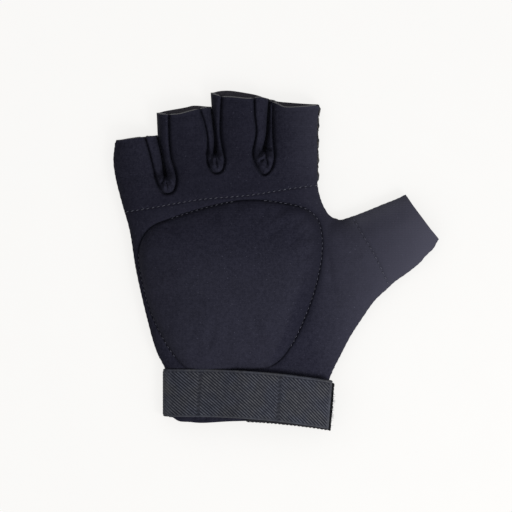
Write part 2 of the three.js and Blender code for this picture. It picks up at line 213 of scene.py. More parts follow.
# How seams and folds press the cloth in: how deep and how wide.
KNUCKLE_GROOVE = (0.45, 0.55)
THUMB_GROOVE = (0.55, 0.8)
PALM_THUMB_GROOVE = (0.6, 0.6)
GUSSET_GROOVE = (2.4, 0.7)
SLIT_GROOVE = (2.2, 0.6)
PAD_GROOVES = ((0.8, 0.5), (0.6, 2.2))
FOLD_GROOVE = (2.2, 0.75)

# How the cloth bulges: how high and how wide.
SLIT_FOOT_BULGE = (2.4, 3.3)
GUSSET_BULGE = (1.7, 2.1)
GUSSET_CROWN = 0.45
RIM_ROLL = (0.5, 1.1)
RIM_DENT = (0.3, 0.4)
RIM_DENT_AT = 1.6

# The back flattens and the palm lifts off the ground towards the wrist. The stretches are of -Y.
WRIST_FLATTENS = (38, 57.5)
WRIST_FLATTENED = 0.31
PALM_LIFTS = (44, 57.5)
UNDER_STRAP = (55, 59)
PALM_ROUND = 5.5
BACK_RUMPLE = 0.14
PALM_RUMPLE = 0.12

# How a sewn edge turns in, puckers between its stitches and leans in the slits between the fingers.
EDGE_TUCK = 0.8
EDGE_SWELL = 0.35
EDGE_REACH = 1.2
PUCKER = 0.35
SIDE_PITCH = 3.3
SLIT_LEAN = 1.7

# How much painted shade darkens the knit or painted light makes it paler, and how far to the sides
# of a seam, and the stretches of X and Y over which each of these starts.
PAINTED_SHADE_BESIDE_PAD = (0.58, 3.8)
PAINTED_SHADE_BESIDE_PAD_X = (-4, 12)
PAD_SEAM_HALF = 1.2
PAINTED_SHADE_KNUCKLES = (0.26, 8)
PAINTED_SHADE_FINGERS = 0.22
PAINTED_SHADE_FINGERS_Y = (32, 42)
PAINTED_SHADE_FINGERS_X = ((-64, -54), (0, -12))
PAINTED_LIGHT_PAD = 0.065
PAINTED_LIGHT_PAD_Y = (18, -14)
PAINTED_LIGHT_THUMB_EDGE = (0.75, 5)
PAINTED_LIGHT_THUMB_EDGE_X = (34, 46)

# The strap's path round the wrist. Its start is in degrees, from the thumb's side, and it turns down on -X.
STRAP_CLOTH = 1.4
STRAP_CLEARANCE = 0.35
STRAP_START = 78
STRAP_END_X = 29.5
STRAP_Y = -71.3
STRAP_BOW = 6.4
STRAP_BOW_FROM = -40
STRAP_BOW_LENGTH = 70
STRAP_SLANT = 0.08
STRAP_TURNS_DOWN = (54.5, 59)
STRAP_RISES = (-33, -16)
STRAP_DROOPS = (6, 40)
STRAP_DROOP = 2.6
WRIST_SIDES = (-58.7, 28.4)
WRIST_HEIGHT = 11.6
WRIST_ROUNDNESS = {"top": 2.5, "bottom": 4}
WRIST_LIFT = STRAP_CLOTH + STRAP_CLEARANCE
PIECE_GAP = 0.3

# The strap's ribs, its two woven edges and its two columns of zigzag stitches, each from top to bottom.
RIB_SLOPE = 0.82
RIB_HEIGHT = 0.42
WOVEN_EDGES = (1.1, 0.7)
WOVEN_END = (0.8, 1.4)
SELVEDGE = 0.2
COLUMN_HALF = 0.8
COLUMN_PINCH = 0.2
MIDDLE_TONE = 0.6
STRAP_COLUMNS = (((-40.1, -59.8), (-41.7, -83.5)), ((2.7, -60.6), (1.1, -86.6)))

# The hook tape under the strap's outer end.
TAPE_CLOTH = 1.2
TAPE_START_X = -15
TAPE_PAST_STRAP = 1.2
TAPE_WIDTH = 24.8
TAPE_SHIFT_Y = -0.9
TAPE_SKEW = 0.9
TOOTH_REACH = 0.45
TOOTH_PITCH = 2.1

# Runs of stitches: how far apart they are, how long, their lean in degrees, how high and how thick.
Stitch = namedtuple("Stitch", "pitch length lean lift radius")
KNUCKLE_STITCH = Stitch(2.85, 1.6, 14, 0.3, 0.26)
THUMB_STITCH = Stitch(3, 1.7, 16, 0.32, 0.27)
PALM_STITCH = Stitch(3, 1.6, 16, -0.15, 0.2)
STRAP_STITCH = Stitch(2.3, 1.7, -40, -0.3, 0.2)
PAD_STITCH = Stitch(2.75, 1.35, 6, 0.85, 0.21)
STITCH_SWAY = 0.12
STITCH_SINK = 0.55
SIDE_THREAD = 0.13
RAW_SEAM_THREAD = 0.17
HOOK_WIRE = 0.11
HAIR = 0.045

# The distances of the rows of points beside a panel's edge, two measures that tell points apart, how fine
# the strips between the fingers are beside the other panels, and how close rows of even triangles are.
EDGE_ROWS = (0.07, 0.22, 0.5, 0.95, 1.6, 2.4)
SAME_PLACE = 0.05
ROW_APART = 0.06
GUSSET_FINENESS = 0.3
TRIANGLE_ROWS = 0.866

# The pad: its points' distance, its thickness, and its simulation, which runs this many times life size.
PAD_STEP = 1.3
PAD_CLOTH = 3 * MM
PUFF_SCALE = 10
PUFF_SEWN = 0.6
PUFF_CAP = 1.5 * MM

# The floor, the key light and the middle of the picture.
FLOOR_HALF = 3000
FLOOR_Z = -0.2
KEY_PLACE = (0.3, -0.26, 0.42)
KEY_SIZE = 0.2
PICTURE_CENTRE = (-10.3 * MM, 2.2 * MM)


class GloveSizes(bpy.types.PropertyGroup):
    """The glove's sizes."""

    cloth: FloatProperty(
        name="Cloth", description="Thickness of the foam-backed knit", default=1.4 * MM, unit="LENGTH"
    )
    back_rise: FloatProperty(
        name="Back rise", description="Rise of the back above its side seams", default=11.3 * MM,
        unit="LENGTH",
    )
    back_shoulder: FloatProperty(
        name="Shoulder", description="How far in the back is still rounding up", default=13.4 * MM,
        unit="LENGTH",
    )
    pad_rise: FloatProperty(
        name="Pad rise", description="Crown of the pad above the back", default=4.9 * MM, unit="LENGTH"
    )
    pad_shoulder: FloatProperty(
        name="Pad shoulder", description="Width of the pad's rounded edge", default=7 * MM, unit="LENGTH"
    )
    strap_width: FloatProperty(
        name="Strap width", description="Width of the elastic strap", default=25.6 * MM, unit="LENGTH"
    )
    rib_pitch: FloatProperty(
        name="Rib pitch", description="Distance between the strap's ribs, along the strap",
        default=2.08 * MM, unit="LENGTH",
    )
    mesh_step: FloatProperty(
        name="Mesh step", description="Distance between the points of a panel", default=1.1 * MM,
        unit="LENGTH",
    )
    puff_frames: IntProperty(
        name="Puff frames", description="Length of the pad's cloth simulation", default=16
    )


class GloveColours(bpy.types.PropertyGroup):
    """The glove's colours."""

    knit: FloatVectorProperty(
        name="Knit", description="Navy-black foam-backed knit", subtype="COLOR",
        default=(0.0042, 0.0042, 0.0092),
    )
    knit_worn: FloatVectorProperty(
        name="Knit, lighter", description="The knit's lighter yarns", subtype="COLOR",
        default=(0.0125, 0.0124, 0.021),
    )
    # Painted highlight on the knit, laid on where the mesh is marked as paler.
    knit_pale: FloatVectorProperty(
        name="Knit, palest", description="The knit where the light catches its nap", subtype="COLOR",
        default=(0.055, 0.055, 0.074),
    )
    # Painted light: the knit is made brighter towards the thumb, where the light falls.
    knit_thumb: FloatVectorProperty(
        name="Knit, thumb", description="The knit towards the thumb", subtype="COLOR",
        default=(0.03, 0.0297, 0.0425),
    )
    cut_edge: FloatVectorProperty(
        name="Cut edge", description="Cut edges of the knit", subtype="COLOR",
        default=(0.024, 0.024, 0.031),
    )
    lining: FloatVectorProperty(
        name="Lining", description="The brushed inside of the knit", subtype="COLOR",
        default=(0.1, 0.095, 0.112),
    )
    webbing: FloatVectorProperty(
        name="Webbing", description="The strap's ribs", subtype="COLOR", default=(0.058, 0.059, 0.065)
    )
    webbing_blue: FloatVectorProperty(
        name="Webbing, bluer", description="The strap's bluer ribs", subtype="COLOR",
        default=(0.052, 0.0555, 0.07),
    )
    webbing_groove: FloatVectorProperty(
        name="Webbing groove", description="Between the strap's ribs", subtype="COLOR",
        default=(0.0032, 0.0038, 0.0085),
    )
    hooks: FloatVectorProperty(
        name="Hooks", description="The black hook tape", subtype="COLOR", default=(0.006, 0.006, 0.007)
    )
    thread: FloatVectorProperty(
        name="Thread", description="Grey sewing thread", subtype="COLOR", default=(0.053, 0.053, 0.076)
    )
    edge_thread: FloatVectorProperty(
        name="Edge thread", description="Brown-grey thread over the raw seam edge", subtype="COLOR",
        default=(0.11, 0.095, 0.085),
    )


class GloveStage(bpy.types.PropertyGroup):
    """The camera and light."""

    distance: FloatProperty(name="Distance", description="Camera height", default=1.6, unit="LENGTH")
    picture_width: FloatProperty(
        name="Picture width", description="What the picture spans on the ground", default=276.5 * MM,
        unit="LENGTH",
    )
    key_power: FloatProperty(name="Key light", description="Power of the key light in watts", default=4.4)
    sky: FloatProperty(name="Sky", description="Strength of the even light round the glove", default=0.65)
    floor_glow: FloatProperty(name="Floor glow", description="How brightly the paper shines", default=0.915)


# Lines in plan

def run_of(line):
    """How far along a line each of its points is."""
    return np.concatenate([[0], np.cumsum(np.linalg.norm(np.diff(line, axis=0), axis=1))])


def places_on(line, at):
    """The places on a line that are so far along it."""
    run = run_of(line)
    return np.column_stack([np.interp(at, run, column) for column in line.T])


def evenly(line, step):
    """The same line, with its points a step apart."""
    line = np.asarray(line, float)
    total = run_of(line)[-1]
    return places_on(line, np.linspace(0, total, max(1, round(total / step)) + 1))


def ways(line):
    """The way that a line goes at each of its points."""
    way = np.gradient(line, axis=0)
    return way / np.linalg.norm(way, axis=1)[:, None]


def left_of(way):
    """The way to the left of each way."""
    return np.column_stack([-way[:, 1], way[:, 0]])


def bell(distance, width):
    """1 in the middle, and falling off smoothly on both sides."""
    return np.exp(-((distance / width) ** 2))


def rounded(points, step=1.0, closed=False):
    """A centripetal spline through a few points, with points a step apart."""
    p = np.array(points, float)
    if closed:
        p = np.vstack([p[-1], p, p[0], p[1]])
    else:
        p = np.vstack([2 * p[0] - p[1], p, 2 * p[-1] - p[-2]])
    found = []
    for a, b, c, d in zip(p, p[1:], p[2:], p[3:]):
        gaps = [max(math.dist(q, r) ** 0.5, 1e-6) for q, r in ((a, b), (b, c), (c, d))]
        t0, t1, t2, t3 = np.cumsum([0, *gaps])
        t = np.linspace(t1, t2, 16, endpoint=False)[:, None]
        ab = (t1 - t) / (t1 - t0) * a + (t - t0) / (t1 - t0) * b
        bc = (t2 - t) / (t2 - t1) * b + (t - t1) / (t2 - t1) * c
        cd = (t3 - t) / (t3 - t2) * c + (t - t2) / (t3 - t2) * d
        abc = (t2 - t) / (t2 - t0) * ab + (t - t0) / (t2 - t0) * bc
        bcd = (t3 - t) / (t3 - t1) * bc + (t - t1) / (t3 - t1) * cd
        found.append((t2 - t) / (t2 - t1) * abc + (t - t1) / (t2 - t1) * bcd)
    found.append(p[-2][None])
    return evenly(np.vstack(found), step)


def seated(line, first, last):
    """A line with its two ends moved onto the lines that it meets."""
    made = np.array(line)
    for end, other in ((0, first), (-1, last)):
        fine = evenly(other, SAME_PLACE)
        made[end] = fine[np.linalg.norm(fine - made[end], axis=1).argmin()]
    return made


def cross_line(line, first, last):
    """A rounded line from one side seam to another. Its points are close at its ends, where the cloth
    curves most."""
    made = rounded(seated(line, first, last))
    run = run_of(made)
    extra = np.array(EDGE_ROWS[:4])
    at = np.sort(np.concatenate([run, extra, run[-1] - extra]))
    return places_on(made, at[np.concatenate([[True], np.diff(at) > ROW_APART])])


def stretch(line, start, end):
    """The part of a line from one place to another, ending exactly on both."""
    first, last = (int(np.argmin(np.linalg.norm(line - np.array(p), axis=1))) for p in (start, end))
    part = line[first : last + 1] if first <= last else line[last : first + 1][::-1]
    part = np.array(part)
    part[0], part[-1] = start, end
    return part


def ring_of(*lines):
    """Lines joined end to end into a closed outline, without repeated corners."""
    joined = np.vstack(lines)
    keep = np.linalg.norm(joined - np.roll(joined, 1, axis=0), axis=1) > SAME_PLACE
    return joined[keep]


def in_chunks(function, points, size=1500):
    """A function of many points, run a part at a time to save memory."""
    parts = [function(points[i : i + size]) for i in range(0, max(1, len(points)), size)]
    return np.concatenate(parts)


def off_line(points, line):
    """Columns: each point's distance to a line, how far along it that is, and the line's left-hand way."""
    a, b = line[:-1], line[1:]
    along = b - a
    length = np.maximum(np.linalg.norm(along, axis=1), 1e-9)
    run = np.concatenate([[0], np.cumsum(length)])[:-1]

    def part(p):
        rel = p[:, None, :] - a[None]
        t = np.clip((rel * along).sum(2) / length**2, 0, 1)
        away = rel - t[..., None] * along
        distance = np.linalg.norm(away, axis=2)
        nearest = distance.argmin(1)
        rows = np.arange(len(p))
        left = np.column_stack([-along[nearest, 1], along[nearest, 0]]) / length[nearest, None]
        run_to = run[nearest] + t[rows, nearest] * length[nearest]
        return np.column_stack([distance[rows, nearest], run_to, left])

    return in_chunks(part, np.asarray(points, float))


def inside(points, outline):
    """Whether each point is inside a closed outline."""
    a, b = outline, np.roll(outline, -1, axis=0)

    def part(p):
        x, y = p[:, :1], p[:, 1:2]
        crosses = (a[:, 1] > y) != (b[:, 1] > y)
        slope = (b[:, 0] - a[:, 0]) / np.where(b[:, 1] == a[:, 1], 1e-12, b[:, 1] - a[:, 1])
        return (crosses & (x < a[:, 0] + (y - a[:, 1]) * slope)).sum(1) % 2 == 1

    return in_chunks(part, np.asarray(points, float))


def depth_in(points, lines):
    """A smooth distance in from the lines. Each piece of a line counts on its left side alone, by the
    angle it fills over the square of its distance, so the middle of a finger has no ridge."""
    a = np.vstack([line[:-1] for line in lines])
    b = np.vstack([line[1:] for line in lines])
    length = np.linalg.norm(b - a, axis=1)
    way = (b - a) / length[:, None]

    def part(p):
        rel = p[:, None, :] - a[None]
        height = rel[..., 1] * way[:, 0] - rel[..., 0] * way[:, 1]
        near = np.maximum(height, 1e-3)
        start = -(rel * way).sum(2)
        end = start + length

        def swept(s):
            return s / (2 * near * (near**2 + s**2)) + np.arctan2(s, near) / (2 * near**2)

        total = np.where(height > 0, swept(end) - swept(start), 0).sum(1)
        return np.sqrt(math.pi / 2 / np.maximum(total, 1e-9))

    found = in_chunks(part, np.asarray(points, float), 700)
    found *= np.minimum(1, nearest_of(points, lines)[:, 0] / SLIT[0])
    return np.where(inside(points, np.vstack(lines)), found, 0)


def nearest_of(points, lines):
    """What off_line says of the line that is nearest to each point."""
    off = np.stack([off_line(points, line) for line in lines])
    return off[off[:, :, 0].argmin(0), np.arange(len(points))]


def ease(x, start, end):
    """0 before start, 1 after end, and smooth between them. The end may be the smaller of the two."""
    t = np.clip((np.asarray(x, float) - start) / (end - start), 0, 1)
    return t * t * (3 - 2 * t)


def slit(points):
    """The two sides of the slit between two fingers, down one and up the other."""
    middle = rounded(points)
    half = np.interp(np.arange(len(middle))[::-1], [0, SLIT_OPENS], SLIT)[:, None]
    aside = half * left_of(ways(middle))
    return np.vstack([middle + aside, (middle - aside)[::-1]])


SIDE_THUMB, SIDE_CROTCH, SIDE_LITTLE = map(rounded, (SIDE_OF_THUMB, SIDE_OF_CROTCH, SIDE_OF_LITTLE))
GAP_3, GAP_2, GAP_1 = SLITS = [slit(GAPS[name]) for name in GAPS]
SIDES = [SIDE_THUMB, SIDE_CROTCH, *SLITS, SIDE_LITTLE]
KNUCKLES = cross_line(KNUCKLE_SEAM, SIDE_LITTLE, SIDE_CROTCH)
THUMB_LINE = cross_line(THUMB_SEAM, SIDE_CROTCH, SIDE_THUMB)
GUSSET_LINES = {name: rounded(line, 0.8) for name, line in GUSSET_SEAMS.items()}
PAD_LINE = rounded(PAD_OUTLINE, closed=True)
PAD_RING = np.vstack([PAD_LINE, PAD_LINE[:1]])
FINGER_SIDES = {
    "little": (SIDE_LITTLE, GAP_1),
    "ring": (GAP_1, GAP_2),
    "middle": (GAP_2, GAP_3),
    "index": (GAP_3, SIDE_CROTCH),
}


def finger_rims(table):
    """The open ends of the fingers, each from one side seam to the next."""
    return [rounded(seated(table[name], *FINGER_SIDES[name])) for name in table]


def thumb_rim(set_back):
    """The thumb's open end, hollowed by so much."""
    corners = np.array(THUMB_CORNERS)
    middle = corners.mean(0) + set_back * np.array(THUMB_INWARD)
    return cross_line([corners[0], middle, corners[1]], SIDE_THUMB, SIDE_CROTCH)


OPEN_RIMS = finger_rims(BACK_RIMS)


# Heights

def groove(points, line, depth, width):
    """How far a line presses the cloth in at each point."""
    return depth * bell(off_line(points, line)[:, 0], width)


def bulge(points, centre, height, width):
    """How far the cloth stands up round a place."""
    return height * np.exp(-((points - centre) ** 2).sum(1) / width**2)


def rumple(points):
    """The cloth's slow unevenness, between about -1 and 1."""
    x, y = points[:, 0], points[:, 1]
    waves = [
        (0.31, 0.12, 0.4), (-0.17, 0.29, 1.9), (0.09, -0.37, 3.1), (0.42, 0.33, 5.2),
        (-0.51, 0.21, 0.8), (0.25, -0.63, 2.6), (0.71, 0.16, 4.4), (-0.36, -0.58, 1.2),
    ]
    return sum(np.sin(a * x + b * y + c) for a, b, c in waves) / 4


def back_height(points, sizes):
    """The back's outside above each point in plan."""
    rise, shoulder = sizes.back_rise / MM, sizes.back_shoulder / MM
    depth = depth_in(points, SIDES)
    flattened = WRIST_FLATTENED * ease(-points[:, 1], *WRIST_FLATTENS)
    z = SEAM_Z + rise * np.sqrt(1 - np.exp(-depth / shoulder)) * (1 - flattened)
    free = ease(depth, 0.4, 3)
    near_edge = ease(depth, 0, 0.9)
    before_strap = 1 - ease(-points[:, 1], *UNDER_STRAP)
    z += BACK_RUMPLE * rumple(points) * free * before_strap
    z -= (groove(points, KNUCKLES, *KNUCKLE_GROOVE) + groove(points, THUMB_LINE, *THUMB_GROOVE)) * free
    for line in GUSSET_LINES.values():
        z -= groove(points, line, *GUSSET_GROOVE) * free
    pad_gap = off_line(points, PAD_RING)[:, 0]
    z -= sum(deep * bell(pad_gap, width) for deep, width in PAD_GROOVES) * before_strap * free
    for line, deep, width in CREASES:
        z -= groove(points, rounded(line), deep, width) * free
    for line in SLITS[::-1]:
        z -= groove(points, line, *SLIT_GROOVE)
    slit_gap = nearest_of(points, SLITS)[:, 0]
    for line in GAPS.values():
        foot = np.array(line[-1]) - (0, 1)
        z += bulge(points, foot, *SLIT_FOOT_BULGE) * ease(slit_gap, 0.1, 1.2)
    for name, folds in GUSSET_FOLDS.items():
        for centre in GUSSET_PUFFS[name]:
            z += bulge(points, centre, *GUSSET_BULGE) * near_edge
        z -= folded(points, folds) * near_edge
    rim_gap = np.min([off_line(points, rim)[:, 0] for rim in OPEN_RIMS], axis=0)
    roll = RIM_ROLL[0] * np.exp(-rim_gap / RIM_ROLL[1])
    dent = RIM_DENT[0] * bell(rim_gap - RIM_DENT_AT, RIM_DENT[1])
    z += (roll - dent) * ease(depth, 0.2, 2)
    return np.maximum(z, SEAM_Z + 0.02)


def folded(points, folds):
    """How far the folds at a strip's foot press it in, a little less towards their far ends."""
    deep, width = FOLD_GROOVE
    pressed = np.zeros(len(points))
    for line in folds:
        fold = rounded(line, 0.5)
        off = off_line(points, fold)
        fade = 1 - 0.3 * off[:, 1] / run_of(fold)[-1]
        pressed = np.maximum(pressed, deep * fade * bell(off[:, 0], width))
    return pressed


def gusset_height(points, sizes):
    """A strip's outside, a little proud between its seams."""
    seam_gap = nearest_of(points, list(GUSSET_LINES.values()))[:, 0]
    crown = GUSSET_CROWN * ease(seam_gap, 0.3, 2) * ease(depth_in(points, SIDES), 0.1, 1.5)
    return back_height(points, sizes) + crown


def palm_height(points, sizes):
    """The palm's outside below each point in plan."""
    depth = depth_in(points, SIDES)
    y = points[:, 1]
    lift = WRIST_LIFT * ease(-y, *PALM_LIFTS)
    flat = np.sqrt(1 - (1 - np.minimum(depth / PALM_ROUND, 1)) ** 2)
    z = SEAM_Z - (SEAM_Z - lift) * flat
    z += PALM_RUMPLE * (1 + rumple(points * 0.6)) * flat * ease(y, -50, -40)
    for line, deep, width in PALM_CREASES:
        z += groove(points, rounded(line), deep, width) * flat
    z += groove(points, THUMB_LINE, *PALM_THUMB_GROOVE) * ease(depth, 0.4, 3)
    return z


def pad_height(points, sizes):
    """The pad's top above each point in plan."""
    depth = depth_in(points, [PAD_RING])
    rise, shoulder = sizes.pad_rise / MM, sizes.pad_shoulder / MM
    return back_height(points, sizes) + rise * (1 - np.exp(-depth / shoulder)) ** 0.75


# Sheets

def sheet_points(outline, step, holes=()):
    """Points and triangles that fill an outline in plan, with close rows of points along its edges."""
    rims = [outline, *holes]
    edges, found, count = [], [], 0
    for rim in rims:
        found.append(rim)
        edges += [(count + k, count + (k + 1) % len(rim)) for k in range(len(rim))]
        count += len(rim)
    closed = [np.vstack([rim, rim[:1]]) for rim in rims]

    def gap_to_rims(p):
        return np.min([off_line(p, line)[:, 0] for line in closed], axis=0)

    def filled(p):
        kept = inside(p, outline)
        for hole in holes:
            kept &= ~inside(p, hole)
        return kept

    for distance in EDGE_ROWS:
        for rim in rims:
            way = np.roll(rim, -1, axis=0) - np.roll(rim, 1, axis=0)
            normal = left_of(way) / np.linalg.norm(way, axis=1)[:, None]
            for side in (1, -1):
                row = rim + side * distance * normal
                row = row[filled(row)]
                row = row[gap_to_rims(row) > 0.93 * distance]
                if distance > 0.4:
                    _, first = np.unique(np.round(row / (0.6 * distance)), axis=0, return_index=True)
                    row = row[np.sort(first)]
                found.append(row)
    low, high = outline.min(0), outline.max(0)
    xs = np.arange(low[0], high[0], step)
    ys = np.arange(low[1], high[1], step * TRIANGLE_ROWS)
    grid = np.array([(x + (k % 2) * step / 2, y) for k, y in enumerate(ys) for x in xs])
    grid = grid[filled(grid)]
    found.append(grid[gap_to_rims(grid) > EDGE_ROWS[-1] + 0.4 * step])
    points = np.vstack(found)
    made = delaunay_2d_cdt([Vector(p) for p in points], edges, [], 0, 1e-7)
    points = np.array([tuple(p) for p in made[0]])
    faces = np.array([f for f in made[2] if len(f) == 3])
    middle = points[faces].mean(1)
    faces = faces[filled(middle)]
    corner = points[faces]
    turn = np.cross(corner[:, 1] - corner[:, 0], corner[:, 2] - corner[:, 0])
    faces[turn < 0] = faces[turn < 0][:, ::-1]
    used, faces = np.unique(faces, return_inverse=True)
    return points[used], faces.reshape(-1, 3)


def tucked(points, z):
    """The points moved in from the side seams where they are near the seams' height, as sewn edges turn in.
    Between the fingers the palm's sides lean to the right instead, so that they lie against each other."""
    off = nearest_of(points, SIDES)
    in_gap = nearest_of(points, SLITS)[:, 0] < off[:, 0] + 1e-6
    rise = np.abs(z - SEAM_Z)
    turned = EDGE_TUCK * bell(rise, 0.85) - EDGE_SWELL * bell(rise - 1.9, 0.9)
    turned *= bell(off[:, 0], EDGE_REACH)
    stitched = off[:, 1] * 2 * math.pi / SIDE_PITCH
    pucker = 1 + PUCKER * np.sin(stitched + 1.5 * np.sin(off[:, 1] * 0.41))
    moved = points + off[:, 2:4] * (turned * np.where(in_gap, 0, pucker))[:, None]
    under = np.clip(1 - z / SEAM_Z, 0, 1) * bell(off[:, 0], 1.6)
    moved[:, 0] += SLIT_LEAN * under * in_gap
    return moved


def add_mesh(name, points, faces):
    """A smooth mesh object from points in millimetres."""
    mesh = bpy.data.meshes.new(name)
    mesh.from_pydata((np.asarray(points, float) * MM).tolist(), [], [tuple(map(int, f)) for f in faces])
    mesh.validate()
    mesh.shade_smooth()
    made = bpy.data.objects.new(name, mesh)
    bpy.context.collection.objects.link(made)
    return made


def settle(obj, angle=66):
    """Puts the modifiers into the mesh, and keeps its cut edges crisp."""
    shown = obj.evaluated_get(bpy.context.evaluated_depsgraph_get())
    mesh = bpy.data.meshes.new_from_object(shown)
    obj.modifiers.clear()
    obj.data = mesh
    mesh.set_sharp_from_angle(angle=math.radians(angle))


def thicken(obj, thickness):
    """Gives a sheet its thickness, inwards, with its cut edge in the second material."""
    solid = obj.modifiers.new("Cloth thickness", "SOLIDIFY")
    solid.thickness = thickness
    solid.offset = -1
    solid.material_offset = 2
    solid.material_offset_rim = 1
    settle(obj)


def place(obj, node, material=None):
    """Gives a piece its material and its body, and hides the solid it stands for."""
    if material:
        obj.data.materials.append(material)
    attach(obj, BODY)
    if node:
        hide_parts(node)
    return obj


def mark_wear(obj, on_pad=False):
    """Marks painted shade, making the knit darker along the pad's thumb side, over the knuckles and over
    the fingers, and painted light, making it paler low on the pad and along the thumb's upper side."""
    found = np.empty(3 * len(obj.data.vertices), dtype=np.float32)
    obj.data.vertices.foreach_get("co", found)
    points = found.reshape(-1, 3)[:, :2].astype(float) / MM
    x, y = points[:, 0], points[:, 1]
    seam_gap = off_line(points, PAD_RING)[:, 0] + (-PAD_SEAM_HALF if on_pad else PAD_SEAM_HALF)
    strength, width = PAINTED_SHADE_BESIDE_PAD
    from_left, from_right = PAINTED_SHADE_FINGERS_X
    # Painted shade: darker beside the pad's seam on the thumb side, over the knuckles and over the fingers.
    deep = strength * bell(seam_gap, width) * ease(x, *PAINTED_SHADE_BESIDE_PAD_X)
    deep += groove(points, KNUCKLES, *PAINTED_SHADE_KNUCKLES)
    deep += PAINTED_SHADE_FINGERS * ease(y, *PAINTED_SHADE_FINGERS_Y) * ease(x, *from_left) * ease(x, *from_right)
    # Painted light: paler low on the pad and along the thumb's upper side, where the light falls.
    pale = PAINTED_LIGHT_PAD * ease(y, *PAINTED_LIGHT_PAD_Y) * on_pad
    pale = pale + groove(points, SIDE_CROTCH, *PAINTED_LIGHT_THUMB_EDGE) * ease(x, *PAINTED_LIGHT_THUMB_EDGE_X)
    # The mark holds painted light above 0 and painted shade below 0.
    painted_shading = obj.data.attributes.new("painted_shading", "FLOAT", "POINT")
    painted_shading.data.foreach_set("value", (pale - deep).astype(np.float32))


def give_knit(obj):
    """Gives a sheet the knit's outside, its cut edge and its inside."""
    colours = bpy.context.scene.glove_colours
    for finish in (foam_knit, cut_foam, lining):
        obj.data.materials.append(finish(colours))


def cloth_panel(name, sheets, sizes, node, fineness=1.0):
    """A sewn panel of one or more sheets: (outline, holes, height function, whether it faces down)."""
    points, faces, count = [], [], 0
    for outline, holes, height, down in sheets:
        flat, triangles = sheet_points(outline, sizes.mesh_step / MM * fineness, holes)
        z = height(flat, sizes)
        points.append(np.column_stack([tucked(flat, z), z]))
        faces.append((triangles[:, ::-1] if down else triangles) + count)
        count += len(flat)
    obj = add_mesh(name, np.vstack(points), np.vstack(faces))
    give_knit(obj)
    thicken(obj, sizes.cloth)
    return place(obj, node)


# Materials

class Recipe:
    """A short way to write down a material's nodes."""

    def __init__(self, name):
        self.material = bpy.data.materials.new(name)
        self.material.use_nodes = True
        self.tree = self.material.node_tree
        self.shader = self.tree.nodes["Principled BSDF"]
        self.where = self.tree.nodes.new("ShaderNodeTexCoord").outputs["Object"]

    def node(self, kind, inputs=(), **settings):
        made = self.tree.nodes.new(f"ShaderNode{kind}")
        for key, value in settings.items():
            setattr(made, key, value)
        for key, value in dict(inputs).items():
            self.put(made.inputs[key], value)
        return made

    def put(self, socket, value):
        if isinstance(value, bpy.types.NodeSocket):
            self.tree.links.new(value, socket)
        else:
            socket.default_value = value

    def noise(self, scale, detail, roughness=0.55):
        inputs = {"Vector": self.where, "Scale": scale, "Detail": detail, "Roughness": roughness}
        return self.node("TexNoise", inputs).outputs["Fac"]

    def waves(self, direction, scale, distortion):
        inputs = {"Vector": self.where, "Scale": scale, "Distortion": distortion}
        inputs.update({"Detail": 2, "Detail Scale": 2})
        return self.node("TexWave", inputs, bands_direction=direction).outputs["Fac"]

    def between(self, value, low, high, start=0.0, end=1.0):
        inputs = {"Value": value, "From Min": low, "From Max": high, "To Min": start, "To Max": end}
        return self.node("MapRange", inputs).outputs["Result"]

    def math(self, operation, first, second):
        return self.node("Math", {0: first, 1: second}, operation=operation).outputs[0]

    def blend(self, share, first, second):
        made = self.node("Mix", {"Factor": share}, data_type="RGBA")
        self.put(made.inputs[6], first)
        self.put(made.inputs[7], second)
        return made.outputs[2]

    def shade(self, **values):
        for key, value in values.items():
            self.put(self.shader.inputs[key.replace("_", " ").title().replace("Ior", "IOR")], value)

    def bump(self, height, distance, strength=1.0):
        inputs = {"Height": height, "Distance": distance, "Strength": strength}
        self.put(self.shader.inputs["Normal"], self.node("Bump", inputs).outputs["Normal"])


def rgba(colour):
    return (*colour, 1.0)


def once(make):
    """Keeps a material so that every piece with that finish shares it."""

    def kept(colours):
        found = bpy.data.materials.get(make.__name__)
        return found or make(colours)

    return kept


@once
def foam_knit(colours):
    """Foam-backed knit: fine courses of loops, a little mottled, with a few pale specks, painted light
    towards the thumb and the painted light and shade marked on each mesh.
    """
    r = Recipe("foam_knit")
    loops = r.math("MULTIPLY", r.waves("X", 410, 1.1), r.waves("Y", 330, 0.8))
    cloudy = r.noise(60, 4, 0.6)
    yarn = r.noise(1500, 3, 0.6)
    clouds = r.between(cloudy, 0.35, 0.65, 0, 0.25)
    patches = r.between(r.noise(620, 2, 0.5), 0.35, 0.65, 0, 0.4)
    tone = r.math("ADD", r.math("ADD", clouds, patches), r.between(yarn, 0.36, 0.64, -0.05, 0.5))
    base = r.blend(tone, rgba(colours.knit), rgba(colours.knit_worn))
    # Painted light: the knit is made brighter towards the thumb, where the light falls.
    x, y = (r.node("SeparateXYZ", {"Vector": r.where}).outputs[k] for k in (0, 1))
    thumbwards = r.math("ADD", x, r.math("MULTIPLY", y, 0.15))
    base = r.blend(r.between(thumbwards, 0.012, 0.082), base, rgba(colours.knit_thumb))
    # Painted light where the mesh's mark is above 0, and painted shade where it is below 0.
    painted_shading = r.node("Attribute", attribute_name="painted_shading").outputs["Fac"]
    base = r.blend(r.between(painted_shading, 0, 1), base, rgba(colours.knit_pale))
    base = r.blend(r.between(painted_shading, 0, -1), base, rgba(colours.knit))
    speck = r.between(r.noise(1300, 1, 0.4), 0.735, 0.8, 0, 0.6)
    base = r.blend(speck, base, rgba(colours.thread))
    r.shade(
        base_color=base,
        roughness=r.between(cloudy, 0.3, 0.7, 0.82, 0.94),
        sheen_weight=0.02,
        sheen_roughness=0.4,
        sheen_tint=(0.5, 0.52, 0.72, 1),
        specular_ior_level=0.07,
    )
    r.bump(r.math("ADD", loops, r.math("MULTIPLY", yarn, 0.8)), 0.00012, 0.6)
    return r.material


